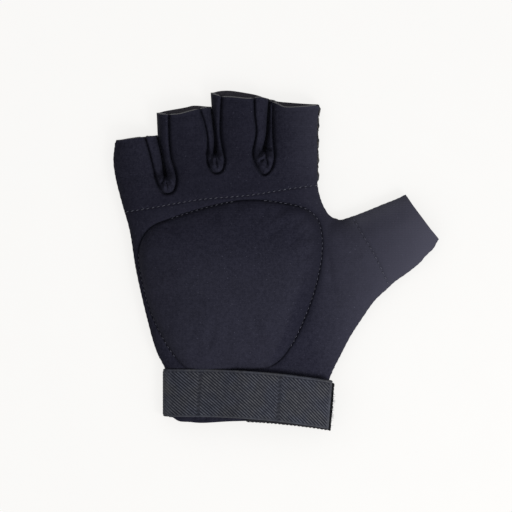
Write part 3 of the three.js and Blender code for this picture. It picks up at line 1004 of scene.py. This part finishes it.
@once
def cut_foam(colours):
    """The knit's cut edge: paler foam with loose yarn ends."""
    r = Recipe("cut_foam")
    ends = r.noise(1900, 4, 0.7)
    r.shade(
        base_color=r.blend(r.between(ends, 0.35, 0.7), rgba(colours.knit), rgba(colours.cut_edge)),
        roughness=0.95,
        sheen_weight=0.3,
        specular_ior_level=0.2,
    )
    r.bump(ends, 0.0002, 0.8)
    return r.material


@once
def lining(colours):
    """The brushed inside of the knit, a little paler."""
    r = Recipe("lining")
    nap = r.noise(1500, 4, 0.65)
    r.shade(
        base_color=r.blend(nap, rgba(colours.knit), rgba(colours.lining)),
        roughness=0.95,
        specular_ior_level=0.05,
    )
    r.bump(nap, 0.00025, 0.7)
    return r.material


@once
def ribbed_elastic(colours):
    """Ribbed elastic: pale slanting ribs of twisted yarn over dark rubber."""
    r = Recipe("ribbed_elastic")
    rib = r.node("Attribute", attribute_name="rib").outputs["Fac"]
    yarn = r.noise(1500, 3, 0.6)
    patchy = r.between(r.noise(430, 2, 0.5), 0.35, 0.65, 0.72, 1.12)
    lit = r.math("MULTIPLY", r.math("MULTIPLY", rib, patchy), r.between(yarn, 0.25, 0.7, 0.55, 1.15))
    bluer = r.between(r.noise(90, 2, 0.5), 0.4, 0.6)
    ribs = r.blend(bluer, rgba(colours.webbing), rgba(colours.webbing_blue))
    r.shade(
        base_color=r.blend(lit, rgba(colours.webbing_groove), ribs),
        roughness=r.between(yarn, 0.2, 0.8, 0.62, 0.85),
        sheen_weight=0.02,
        sheen_roughness=0.4,
        specular_ior_level=0.12,
    )
    r.bump(yarn, 0.00015, 0.7)
    return r.material


@once
def hook_black(colours):
    """Moulded black hooks on a woven tape."""
    r = Recipe("hook_black")
    grit = r.noise(1400, 3, 0.6)
    r.shade(
        base_color=r.blend(r.between(grit, 0.4, 0.8), rgba(colours.hooks), rgba(colours.webbing_groove)),
        roughness=r.between(grit, 0.2, 0.8, 0.6, 0.85),
        specular_ior_level=0.12,
    )
    r.bump(grit, 0.0002, 0.6)
    return r.material


def twisted(name, dark, light):
    """Twisted thread between two colours."""
    r = Recipe(name)
    twist = r.noise(3800, 2, 0.5)
    r.shade(
        base_color=r.blend(r.between(twist, 0.3, 0.7), rgba(dark), rgba(light)),
        roughness=0.6,
        specular_ior_level=0.3,
    )
    r.bump(twist, 0.00008, 0.6)
    return r.material


@once
def sewing_thread(colours):
    return twisted("sewing_thread", colours.webbing_groove, colours.thread)


@once
def dark_thread(colours):
    return twisted("dark_thread", colours.webbing_groove, colours.knit)


@once
def tan_thread(colours):
    return twisted("tan_thread", colours.webbing_groove, colours.edge_thread)


def pale_paper(stage):
    """The floor: even pale paper that glows, with a painted shadow dimming its glow close to the glove."""
    r = Recipe("pale_paper")
    # Painted shadow: the glow dims where the glove hides the sky.
    open_to_sky = r.node("AmbientOcclusion", {"Distance": 30 * MM}, samples=8).outputs["AO"]
    r.shade(
        base_color=r.blend(r.noise(40, 2), (0.03, 0.03, 0.0295, 1), (0.036, 0.036, 0.0352, 1)),
        roughness=1,
        specular_ior_level=0,
        emission_strength=stage.floor_glow,
        emission_color=r.blend(open_to_sky, (0.86, 0.852, 0.838, 1), (1, 0.991, 0.976, 1)),
    )
    return r.material


# Outlines of the panels

def back_fingers_outline():
    """Round the back of the four fingers, down to the knuckle seam."""
    seams = [GUSSET_LINES[name] for name in GUSSET_SEAMS]
    little, ring, middle, index = finger_rims(BACK_RIMS)
    return ring_of(
        KNUCKLES,
        stretch(SIDE_CROTCH, KNUCKLES[-1], index[-1]),
        stretch(index, index[-1], seams[2][-1]),
        seams[2][::-1],
        stretch(middle, seams[2][0], seams[1][-1]),
        seams[1][::-1],
        stretch(ring, seams[1][0], seams[0][-1]),
        seams[0][::-1],
        stretch(little, seams[0][0], little[0]),
        stretch(SIDE_LITTLE, little[0], KNUCKLES[0]),
    )


def gusset_outline(name):
    """Round one strip between two fingers."""
    gap = {"gusset_little_ring": GAP_1, "gusset_ring_middle": GAP_2, "gusset_middle_index": GAP_3}[name]
    left = list(GUSSET_SEAMS).index(name)
    rim_left, rim_right = finger_rims(BACK_RIMS)[left : left + 2]
    seam = GUSSET_LINES[name]
    return ring_of(
        seam,
        stretch(rim_right, seam[-1], rim_right[0]),
        stretch(gap, rim_right[0], rim_left[-1]),
        stretch(rim_left, rim_left[-1], seam[0]),
    )


def back_hand_outline():
    """Round the back of the hand, from the knuckle seam to the hem."""
    hem = rounded(seated(HEM_BACK, SIDE_LITTLE, SIDE_THUMB))
    return ring_of(
        hem,
        stretch(SIDE_THUMB, hem[-1], THUMB_LINE[-1]),
        THUMB_LINE[::-1],
        stretch(SIDE_CROTCH, THUMB_LINE[0], KNUCKLES[-1]),
        KNUCKLES[::-1],
        stretch(SIDE_LITTLE, KNUCKLES[0], hem[0]),
    )


def palm_outline():
    """Round the palm side of the hand and the four fingers."""
    hem = rounded(seated(HEM_PALM, SIDE_LITTLE, SIDE_THUMB))
    little, ring, middle, index = finger_rims(PALM_RIMS)
    return ring_of(
        hem,
        stretch(SIDE_THUMB, hem[-1], THUMB_LINE[-1]),
        THUMB_LINE[::-1],
        stretch(SIDE_CROTCH, THUMB_LINE[0], index[-1]),
        index[::-1],
        stretch(GAP_3, index[0], middle[-1]),
        middle[::-1],
        stretch(GAP_2, middle[0], ring[-1]),
        ring[::-1],
        stretch(GAP_1, ring[0], little[-1]),
        little[::-1],
        stretch(SIDE_LITTLE, little[0], hem[0]),
    )


def stall_outline(set_back):
    """Round one side of the thumb's tube."""
    tip = thumb_rim(set_back)
    return ring_of(
        THUMB_LINE,
        stretch(SIDE_THUMB, THUMB_LINE[-1], tip[0]),
        tip,
        stretch(SIDE_CROTCH, tip[-1], THUMB_LINE[0]),
    )


# The strap

def off_wrist(degrees, clearance):
    """A point off the wrist's section, at an angle round it, 0 at the thumb's side and 90 on top."""
    c, s = math.cos(math.radians(degrees)), math.sin(math.radians(degrees))
    roundness = WRIST_ROUNDNESS["top" if s >= 0 else "bottom"]
    across = math.copysign(abs(c) ** (2 / roundness), c)
    rise = math.copysign(abs(s) ** (2 / roundness), s)
    left, right = WRIST_SIDES
    half = (right - left) / 2 + clearance
    reach = (WRIST_HEIGHT - SEAM_Z if s >= 0 else SEAM_Z - WRIST_LIFT) + clearance
    return (left + right) / 2 + half * across, SEAM_Z + reach * rise


def tab_height(x):
    """The strap's outer end, where it rises over the tape and its own start, and then droops."""
    flat = WRIST_HEIGHT + STRAP_CLEARANCE + STRAP_CLOTH / 2
    stack = STRAP_CLOTH + TAPE_CLOTH + 2 * PIECE_GAP
    return flat + stack * ease(x, *STRAP_RISES) - STRAP_DROOP * ease(x, *STRAP_DROOPS)


def strap_path():
    """The strap's path in X and Z, from its start round the wrist and over the start to its outer end."""
    angles = [*range(STRAP_START, -30, -6), *range(-50, -156, -10), *range(-162, -252, -6)]
    wrapped = [off_wrist(a, STRAP_CLEARANCE + STRAP_CLOTH / 2) for a in angles]
    across = [(x, float(tab_height(x))) for x in np.linspace(-24, STRAP_END_X, 19)]
    return rounded(wrapped + across, 0.25)


def on_band(path, s, v, out, shift=0.0):
    """Points of a band: s along its path, v across it and out from its middle."""
    run = run_of(path)
    x, z, nx, nz = (np.interp(s, run, column) for column in (*path.T, *left_of(ways(path)).T))
    bend = np.maximum(0, x - STRAP_BOW_FROM) / STRAP_BOW_LENGTH
    y = STRAP_Y - STRAP_BOW * bend**2 + shift + v
    return np.stack([x + nx * out + STRAP_SLANT * bend * v, y, z + nz * out], axis=-1)


def slanted_net(length, width, slope, step, rows):
    """Lines across a band that slant as its ribs do, cut square at its ends: s and v of each point."""
    reach = width / 2 / slope
    starts = np.arange(-reach + step / 2, length + reach, step)
    high = np.minimum(width / 2, starts * slope)
    low = np.maximum(-width / 2, (starts - length) * slope)
    v = low[:, None] + (high - low)[:, None] * np.asarray(rows)[None]
    s = starts[:, None] - v / slope
    return np.clip(s, 0, length), v


def closed_net(over, under):
    """The points and faces of two nets of points, one over the other, joined all round."""
    lines, rows = over.shape[:2]
    points = np.vstack([over.reshape(-1, 3), under.reshape(-1, 3)])
    at = np.arange(lines * rows).reshape(lines, rows)
    a, b, c, d = at[:-1, :-1], at[1:, :-1], at[1:, 1:], at[:-1, 1:]
    top = np.stack([a, b, c, d], -1).reshape(-1, 4)
    rim = np.concatenate([at[:, 0], at[-1, 1:], at[-2::-1, -1], at[0, -2:0:-1]])
    after = np.roll(rim, -1)
    base = lines * rows
    walls = np.stack([after, rim, rim + base, after + base], -1)
    return points, np.vstack([top, top[:, ::-1] + base, walls])


def with_columns(rib, inner, outside):
    """The ribs as the two columns of zigzag stitches change them, and how much the stitches pinch."""
    pinch = np.zeros_like(rib)
    for top, bottom in STRAP_COLUMNS:
        down = np.subtract(bottom, top) / math.dist(top, bottom)
        rel = outside[..., :2] - top
        along = rel @ down
        aside = rel[..., 0] * down[1] - rel[..., 1] * down[0]
        near = np.exp(-((aside / COLUMN_HALF) ** 4)) * (outside[..., 2] > SEAM_Z + 3)
        counter = np.abs(np.sin(math.pi * (along - 0.8 * aside) / STRAP_STITCH.pitch)) * inner
        rib = rib + near * (0.85 * counter - rib)
        pinch += near
    return rib, pinch


def strap_faces(sizes):
    """The strap's outside and inside as nets, with how pale each point of them is."""
    path = strap_path()
    length = run_of(path)[-1]
    width, pitch = sizes.strap_width / MM, sizes.rib_pitch / MM
    margin = np.array([0, 0.12, 0.4, 0.8, 1.2, 1.6, 2.0, 2.4]) / width
    rows = np.concatenate([margin, np.linspace(3 / width, 1 - 3 / width, 32), 1 - margin[::-1]])
    s, v = slanted_net(length, width, RIB_SLOPE, pitch / 6, rows)
    wave = np.abs(np.sin(math.pi * (s + v / RIB_SLOPE) / pitch))
    edge = width / 2 - np.abs(v)
    woven = np.where(v > 0, *WOVEN_EDGES)
    off_end = ease(length - s, *WOVEN_END)
    inner = ease(edge, woven, woven + 0.6) * off_end
    rib, pinch = with_columns(wave * inner, inner, on_band(path, s, v, STRAP_CLOTH / 2))
    selvedge = SELVEDGE * bell(edge - 0.6 * woven, 0.5 * woven)
    height = RIB_HEIGHT * rib + selvedge - COLUMN_PINCH * pinch * ease(edge, 0.2, 1)
    rounding = 0.35 * (1 - ease(edge, 0, 0.5))
    outside = on_band(path, s, v, STRAP_CLOTH / 2 - 0.3 + height - rounding)
    inside_face = on_band(path, s, v, -STRAP_CLOTH / 2 + 0.1 - 0.12 * rib + rounding * 0.6)
    fold = ease(-outside[..., 0], *STRAP_TURNS_DOWN) * (outside[..., 2] > SEAM_Z)
    tone = np.clip(rib**2.8 * (1 - 0.15 * pinch), 0, 1)
    tone = tone + 0.6 * fold * (0.95 - tone)
    border = np.minimum(ease(edge, 0.7 * woven, woven + 0.5), off_end)
    return outside, inside_face, MIDDLE_TONE + (tone - MIDDLE_TONE) * border


def strap_mesh(sizes):
    """The strap, with how pale each point is in the attribute that its finish reads."""
    outside, inside_face, tone = strap_faces(sizes)
    points, faces = closed_net(outside, inside_face)
    obj = add_mesh("elastic_strap", points, faces)
    rib = obj.data.attributes.new("rib", "FLOAT", "POINT")
    values = np.concatenate([tone.ravel(), 0.5 * tone.ravel()]).astype(np.float32)
    if len(rib.data) != len(values):
        raise RuntimeError("the strap's mesh lost points")
    rib.data.foreach_set("value", values)
    return obj


def tape_path():
    """The hook tape's path in X and Z, under the strap's outer end."""
    under = STRAP_CLOTH / 2 + PIECE_GAP + TAPE_CLOTH / 2
    xs = np.linspace(TAPE_START_X, STRAP_END_X + TAPE_PAST_STRAP, 48)
    return np.array([(x, float(tab_height(min(x, 31))) - under) for x in xs])


def on_tape(path, s, v, out):
    """Points of the hook tape, which sits a little askew under the strap."""
    return on_band(path, s, v, out, TAPE_SHIFT_Y - TAPE_SKEW * (1 - s / run_of(path)[-1]))


def tape_mesh():
    """The woven ground of the hook tape, with a ragged edge along both sides."""
    path = tape_path()
    length = run_of(path)[-1]
    along = np.linspace(0, length, 140)
    across = np.linspace(-TAPE_WIDTH / 2, TAPE_WIDTH / 2, 60)
    s, v = np.meshgrid(along, across, indexing="ij")
    teeth = TOOTH_REACH * np.sin(s * math.pi / TOOTH_PITCH) ** 2
    v = v + np.sign(v) * teeth * ease(np.abs(v), TAPE_WIDTH / 2 - 1.4, TAPE_WIDTH / 2)
    ragged = 0.12 * np.sin(v * 2.9) + 0.1 * np.sin(v * 7.1 + 1)
    s_ragged = s + ragged * ease(s, length - 1.5, length)
    lumps = 0.06 * np.sin(s * 5) * np.sin(v * 5)
    thin = 0.25 * ease(np.abs(v), TAPE_WIDTH / 2 - 0.8, TAPE_WIDTH / 2)
    over = on_tape(path, s_ragged, v, TAPE_CLOTH / 2 + lumps - thin)
    under = on_tape(path, s_ragged, v, -TAPE_CLOTH / 2 + lumps + thin)
    points, faces = closed_net(over, under)
    return add_mesh("hook_tape_ground", points, faces)


# Threads and hooks

def tubes(name, lines, radii, sides=6):
    """Round threads along many short lines of points, all of one length, as one mesh."""
    lines = np.asarray(lines, float)
    count, steps = lines.shape[:2]
    way = np.gradient(lines, axis=1)
    way /= np.linalg.norm(way, axis=2)[..., None]
    up = np.where(np.abs(way[..., 2:]) > 0.9, [1.0, 0, 0], [0, 0, 1.0])
    across = np.cross(way, up)
    across /= np.linalg.norm(across, axis=2)[..., None]
    over = np.cross(across, way)
    angles = np.arange(sides) * 2 * math.pi / sides
    radii = np.broadcast_to(radii, (count, steps))
    spokes = np.cos(angles)[:, None] * across[:, :, None, :]
    spokes += np.sin(angles)[:, None] * over[:, :, None, :]
    rings = lines[:, :, None, :] + radii[..., None, None] * spokes
    points = rings.reshape(-1, 3)
    faces = []
    for k in range(count):
        at = k * steps * sides
        for j in range(steps - 1):
            for i in range(sides):
                a, b = at + j * sides + i, at + j * sides + (i + 1) % sides
                faces.append((a, a + sides, b + sides, b))
        last = at + (steps - 1) * sides
        faces.append(tuple(range(at, at + sides)))
        faces.append(tuple(range(last + sides - 1, last - 1, -1)))
    return add_mesh(name, points, faces)


def side_stitches(line):
    """Short threads over the notch of a side seam, from the upper panel to the lower one."""
    line = evenly(line, SIDE_PITCH)
    way = ways(line)
    inward = left_of(way)
    turn = np.linspace(-1, 1, 7)
    found = []
    for k in range(1, len(line) - 1):
        across = 0.12 + 0.35 * turn**4
        slip = 0.35 * turn + 0.1 * math.sin(2.3 * k)
        plan = line[k] + across[:, None] * inward[k] + slip[:, None] * way[k]
        found.append(np.column_stack([plan, SEAM_Z + 1.25 * turn]))
    return found


def stitch_run(line, height, stitch, start=0.5, sink=STITCH_SINK):
    """The threads of one seam: for each stitch a few points, its ends sunk in the cloth."""
    places = np.arange(start * stitch.pitch, run_of(line)[-1] - 0.3 * stitch.pitch, stitch.pitch)
    shares = np.linspace(-0.5, 0.5, 7)
    found = []
    for k, at in enumerate(places):
        behind, centre, ahead = places_on(line, [at - 0.5, at, at + 0.5])
        angle = math.atan2(*(ahead - behind)[::-1]) + math.radians(stitch.lean)
        angle += STITCH_SWAY * math.sin(2.7 * k)
        size = stitch.length * (1 + 0.12 * math.sin(1.9 * k + 1))
        plan = centre + shares[:, None] * size * np.array([math.cos(angle), math.sin(angle)])
        z = height(plan) + stitch.lift - sink * (2 * shares) ** 4
        found.append(np.column_stack([plan, z]))
    return found


def raw_edge(seam):
    """The raw edge of the seam down the index finger: a thin wavy ribbon."""
    run = np.arange(len(seam)) * RAW_SEAM_STEP
    out = left_of(ways(seam))
    wave = 0.3 * np.sin(run * 0.68 + 0.6) + 0.12 * np.sin(run * 1.7 + 1)
    ends = ease(run, 0, 2) * ease(run[-1] - run, 0, 3)
    width = -0.5 + (1.35 + wave) * ends
    shares = np.linspace(0, 1, 7)
    reach = -0.9 + shares[None] * (width[:, None] + 0.9)
    rise = 0.25 * np.sin(run * 0.9 + 2)[:, None] * shares[None] + 0.35 * (1 - shares[None] ** 2)
    plan = seam[:, None, :] + out[:, None, :] * reach[..., None]
    over = np.dstack([plan, SEAM_Z + 0.35 + rise])
    under = np.dstack([plan, SEAM_Z - 0.6 + rise])
    return closed_net(over, under)


def raw_edge_threads(seam):
    """The threads over the raw edge, two at each place."""
    way = ways(seam)
    out = left_of(way)
    share = np.linspace(-1, 1, 7)
    threads = []
    for k, at in enumerate(range(8, len(seam) - 6, 8)):
        for strand in (0, 1):
            slide = (1.2 + 0.35 * math.sin(3.1 * k + strand)) * share + 0.6 * strand
            aside = 0.38 + 0.2 * strand + (0.16 + 0.1 * math.sin(1.3 * k)) * share
            line = seam[at] + slide[:, None] * way[at] + aside[:, None] * out[at]
            threads.append(np.column_stack([line, SEAM_Z + 1.15 - 0.6 * share**2]))
    return threads


def strap_top(plan):
    """The strap's outside above a place in plan."""
    path = strap_path()
    over = path[path[:, 0].argmin() :]
    return np.interp(plan[:, 0], over[:, 0], over[:, 1]) + STRAP_CLOTH / 2


def hook_lines(count=420):
    """Small bent hooks on the tape beyond the strap's end and under its lower edge."""
    chance = np.random.default_rng(11)
    path = tape_path()
    length = run_of(path)[-1]
    at_end = chance.random(count) < 0.55
    s = np.where(at_end, length - 1.2 + 1.1 * chance.random(count), length * chance.random(count))
    over_end = (chance.random(count) - 0.5) * (TAPE_WIDTH - 0.6)
    along_side = -TAPE_WIDTH / 2 + 0.5 * chance.random(count)
    v = np.where(at_end, over_end, along_side)
    turn = chance.random(count) * 2 * math.pi
    bend = np.linspace(0, 1, 6)
    lines = []
    for k in range(count):
        size = 0.45 + 0.25 * chance.random()
        side = size * 0.55 * bend**2
        if at_end[k]:
            v_hook = v[k] + side * math.sin(turn[k])
            out = TAPE_CLOTH / 2 + size * np.sin(bend * 2.2)
        else:
            v_hook = v[k] - 0.75 * size * bend
            out = 0.35 * math.sin(turn[k]) + 0.2 * bend
        lines.append(on_tape(path, s[k] + side * math.cos(turn[k]), v_hook, out))
    return lines


def hair_lines(count=90):
    """Loose hairs caught along the tape's end."""
    chance = np.random.default_rng(5)
    path = tape_path()
    length = run_of(path)[-1]
    share = np.linspace(0, 1, 6)
    lines = []
    for _ in range(count):
        v = 9.5 * np.clip(chance.normal(0, 0.45), -1, 1) - 0.5
        reach = 0.5 + 1.1 * chance.random() ** 2
        curl = 0.7 * (chance.random() - 0.5)
        lift = 0.9 * (chance.random() - 0.35)
        out = TAPE_CLOTH / 2 - 0.1 + lift * share
        line = on_tape(path, np.full(6, length - 0.4), v + curl * share**2 * 1.6, out)
        line[:, 0] += share * reach
        lines.append(line)
    return lines


def sew(name, runs, radius, thread=sewing_thread):
    """One mesh of the threads of several runs."""
    lines = np.array([line for run in runs for line in run])
    taper = radius * (1 - 0.35 * np.linspace(-1, 1, lines.shape[1]) ** 4)
    obj = tubes(name, lines, taper)
    return place(obj, None, thread(bpy.context.scene.glove_colours))


def puff(obj, sewn, frames):
    """Blows the pad up a little with Blender's cloth, its seam held, and keeps the shape."""
    rest = np.array([v.co for v in obj.data.vertices])
    work = obj.copy()
    work.data = obj.data.copy()
    bpy.context.collection.objects.link(work)
    work.data.transform(Matrix.Scale(PUFF_SCALE, 4))
    group = work.vertex_groups.new(name="sewn")
    group.add([int(k) for k in sewn], 1, "REPLACE")
    cloth = work.modifiers.new("Puff", "CLOTH")
    cloth.settings.quality = 5
    cloth.settings.mass = 0.3
    cloth.settings.tension_stiffness = 12
    cloth.settings.compression_stiffness = 12
    cloth.settings.bending_stiffness = 3
    cloth.settings.use_pressure = True
    cloth.settings.uniform_pressure_force = 0.5
    cloth.settings.vertex_group_mass = "sewn"
    cloth.settings.effector_weights.gravity = 0
    cloth.point_cache.frame_start = 1
    cloth.point_cache.frame_end = frames
    for number in range(1, frames + 1):
        bpy.context.scene.frame_set(number)
    shown = work.evaluated_get(bpy.context.evaluated_depsgraph_get())
    moved = np.array([v.co for v in shown.data.vertices]) / PUFF_SCALE - rest
    bpy.data.objects.remove(work)
    bpy.context.scene.frame_set(1)
    far = np.linalg.norm(moved, axis=1)
    moved *= np.minimum(1, PUFF_CAP / np.maximum(far, 1e-9))[:, None]
    obj.data.vertices.foreach_set("co", (rest + moved).astype(np.float32).ravel())
    obj.data.update()


# Operators

class GLOVE_OT_back(bpy.types.Operator):
    """Builds the back: the panel over the fingers and the panel over the hand, round the pad"""

    bl_idname = "glove.back"
    bl_label = "Back Panels"

    def execute(self, context):
        sizes = context.scene.glove_sizes
        fingers = [(back_fingers_outline(), (), back_height, False)]
        hand = [(back_hand_outline(), (PAD_LINE,), back_height, False)]
        mark_wear(cloth_panel("back_finger_panel", fingers, sizes, "back_fingers"))
        mark_wear(cloth_panel("back_hand_panel", hand, sizes, "back_hand"))
        return {"FINISHED"}


class GLOVE_OT_gussets(bpy.types.Operator):
    """Builds the strips between the fingers"""

    bl_idname = "glove.gussets"
    bl_label = "Finger Gussets"

    def execute(self, context):
        sizes = context.scene.glove_sizes
        for name in GUSSET_SEAMS:
            sheets = [(gusset_outline(name), (), gusset_height, False)]
            cloth_panel(f"{name}_strip", sheets, sizes, name, GUSSET_FINENESS)
        return {"FINISHED"}


class GLOVE_OT_palm(bpy.types.Operator):
    """Builds the palm with the fingers' palm side"""

    bl_idname = "glove.palm"
    bl_label = "Palm"

    def execute(self, context):
        sheets = [(palm_outline(), (), palm_height, True)]
        cloth_panel("palm_panel", sheets, context.scene.glove_sizes, "palm")
        return {"FINISHED"}


class GLOVE_OT_thumb(bpy.types.Operator):
    """Builds the open tube of the thumb"""

    bl_idname = "glove.thumb"
    bl_label = "Thumb Stall"

    def execute(self, context):
        sheets = [
            (stall_outline(THUMB_SET_BACK), (), back_height, False),
            (stall_outline(0), (), palm_height, True),
        ]
        mark_wear(cloth_panel("thumb_tube", sheets, context.scene.glove_sizes, "thumb_stall"))
        return {"FINISHED"}


class GLOVE_OT_pad(bpy.types.Operator):
    """Builds the padded insert on the back of the hand"""

    bl_idname = "glove.pad"
    bl_label = "Back Pad"

    def execute(self, context):
        sizes = context.scene.glove_sizes
        flat, triangles = sheet_points(PAD_LINE, PAD_STEP)
        z = pad_height(flat, sizes)
        obj = add_mesh("padded_insert", np.column_stack([flat, z]), triangles)
        give_knit(obj)
        seam_gap = off_line(flat, PAD_RING)[:, 0]
        puff(obj, np.flatnonzero(seam_gap < PUFF_SEWN), sizes.puff_frames)
        thicken(obj, PAD_CLOTH)
        mark_wear(obj, True)
        place(obj, "back_pad")
        return {"FINISHED"}


class GLOVE_OT_strap(bpy.types.Operator):
    """Builds the ribbed elastic strap round the wrist"""

    bl_idname = "glove.strap"
    bl_label = "Wrist Strap"

    def execute(self, context):
        obj = strap_mesh(context.scene.glove_sizes)
        place(obj, "wrist_strap", ribbed_elastic(context.scene.glove_colours))
        return {"FINISHED"}


class GLOVE_OT_hook_tape(bpy.types.Operator):
    """Builds the hook tape under the strap's end, with its hooks"""

    bl_idname = "glove.hook_tape"
    bl_label = "Hook Tape"

    def execute(self, context):
        colours = context.scene.glove_colours
        place(tape_mesh(), "hook_tape", hook_black(colours))
        place(tubes("tape_hooks", hook_lines(), HOOK_WIRE, 5), None, hook_black(colours))
        place(tubes("tape_hairs", hair_lines(), HAIR, 4), None, sewing_thread(colours))
        return {"FINISHED"}


class GLOVE_OT_stitching(bpy.types.Operator):
    """Sews the visible seams with grey thread"""

    bl_idname = "glove.stitching"
    bl_label = "Stitching"

    def execute(self, context):
        sizes = context.scene.glove_sizes

        def on_back(plan):
            return back_height(plan, sizes)

        def on_palm(plan):
            return palm_height(plan, sizes)

        sew("knuckle_stitches", [stitch_run(KNUCKLES, on_back, KNUCKLE_STITCH)], KNUCKLE_STITCH.radius)
        sew("thumb_stitches", [stitch_run(THUMB_LINE, on_back, THUMB_STITCH)], THUMB_STITCH.radius)
        under = stitch_run(THUMB_LINE[PALM_SEAM_SHOWS], on_palm, PALM_STITCH, sink=-0.5)
        sew("palm_thumb_stitches", [under], PALM_STITCH.radius)
        sides = {"little": SIDE_LITTLE, "thumb": SIDE_THUMB, "crotch": SIDE_CROTCH}
        runs = [side_stitches(stretch(sides[name], *ends)) for name, ends in SIDE_STITCHES.items()]
        sew("side_stitches", runs, SIDE_THREAD, dark_thread)
        runs = [stitch_run(evenly(ends, 1), strap_top, STRAP_STITCH, 1) for ends in STRAP_COLUMNS]
        sew("strap_stitches", runs, STRAP_STITCH.radius, dark_thread)
        seam = evenly(stretch(SIDE_CROTCH, *RAW_SEAM), RAW_SEAM_STEP)
        # The raw edge is real, but its near-black finish is painted shade for the groove beside the panel's
        # edge.
        edge = add_mesh("index_seam_edge", *raw_edge(seam))
        place(edge, None, dark_thread(context.scene.glove_colours))
        sew("index_seam_threads", [raw_edge_threads(seam)], RAW_SEAM_THREAD, tan_thread)
        runs = [stitch_run(stretch(PAD_LINE, *ends), on_back, PAD_STITCH) for ends in PAD_STITCHES]
        sew("pad_stitches", runs, PAD_STITCH.radius)
        return {"FINISHED"}


def soft_light(name, place_at, size, power):
    """A square lamp that shines at the glove."""
    data = bpy.data.lights.new(name, "AREA")
    data.shape = "SQUARE"
    data.size = size
    data.energy = power
    lamp = bpy.data.objects.new(name, data)
    bpy.context.collection.objects.link(lamp)
    lamp.location = place_at
    lamp.rotation_euler = (-Vector(place_at)).to_track_quat("-Z", "Y").to_euler()


class GLOVE_OT_stage(bpy.types.Operator):
    """Sets the pale floor, the soft light and the camera above the glove"""

    bl_idname = "glove.stage"
    bl_label = "Stage"

    def execute(self, context):
        stage = context.scene.glove_stage
        quarters = ((-1, -1), (1, -1), (1, 1), (-1, 1))
        corners = [(x * FLOOR_HALF, y * FLOOR_HALF, FLOOR_Z) for x, y in quarters]
        floor = add_mesh("floor", corners, [(0, 1, 2, 3)])
        floor.data.materials.append(pale_paper(stage))
        world = bpy.data.worlds.new("even_light")
        world.use_nodes = True
        background = world.node_tree.nodes["Background"]
        background.inputs["Color"].default_value = (1, 1, 1, 1)
        background.inputs["Strength"].default_value = stage.sky
        context.scene.world = world
        soft_light("key", KEY_PLACE, KEY_SIZE, stage.key_power)
        context.scene.view_settings.view_transform = "Standard"
        camera = bpy.data.cameras.new("overhead")
        camera.lens = camera.sensor_width * stage.distance / stage.picture_width
        camera.clip_end = 20
        seen = bpy.data.objects.new("overhead", camera)
        context.collection.objects.link(seen)
        seen.location = (*PICTURE_CENTRE, stage.distance)
        context.scene.camera = seen
        return {"FINISHED"}


class GLOVE_PT_sidebar(bpy.types.Panel):
    """Lists the glove's sizes, colours and building steps"""

    bl_idname = "GLOVE_PT_sidebar"
    bl_label = "Field Hockey Glove"
    bl_space_type = "VIEW_3D"
    bl_region_type = "UI"
    bl_category = "Glove"

    def draw(self, context):
        for name in GROUPS:
            group = getattr(context.scene, name)
            box = self.layout.box()
            for key in group.__annotations__:
                box.prop(group, key)
        for step in STEPS:
            self.layout.operator(step.bl_idname)


STEPS = (
    GLOVE_OT_back, GLOVE_OT_gussets, GLOVE_OT_palm, GLOVE_OT_thumb, GLOVE_OT_pad, GLOVE_OT_strap,
    GLOVE_OT_hook_tape, GLOVE_OT_stitching, GLOVE_OT_stage,
)
GROUPS = {"glove_sizes": GloveSizes, "glove_colours": GloveColours, "glove_stage": GloveStage}


def register():
    for item in (*GROUPS.values(), *STEPS, GLOVE_PT_sidebar):
        bpy.utils.register_class(item)
    for name, group in GROUPS.items():
        setattr(bpy.types.Scene, name, PointerProperty(type=group))


def unregister():
    for name in GROUPS:
        delattr(bpy.types.Scene, name)
    for item in reversed((*GROUPS.values(), *STEPS, GLOVE_PT_sidebar)):
        bpy.utils.unregister_class(item)


def main():
    register()
    for step in STEPS:
        group, name = step.bl_idname.split(".")
        getattr(getattr(bpy.ops, group), name)()


if __name__ == "__main__":
    main()
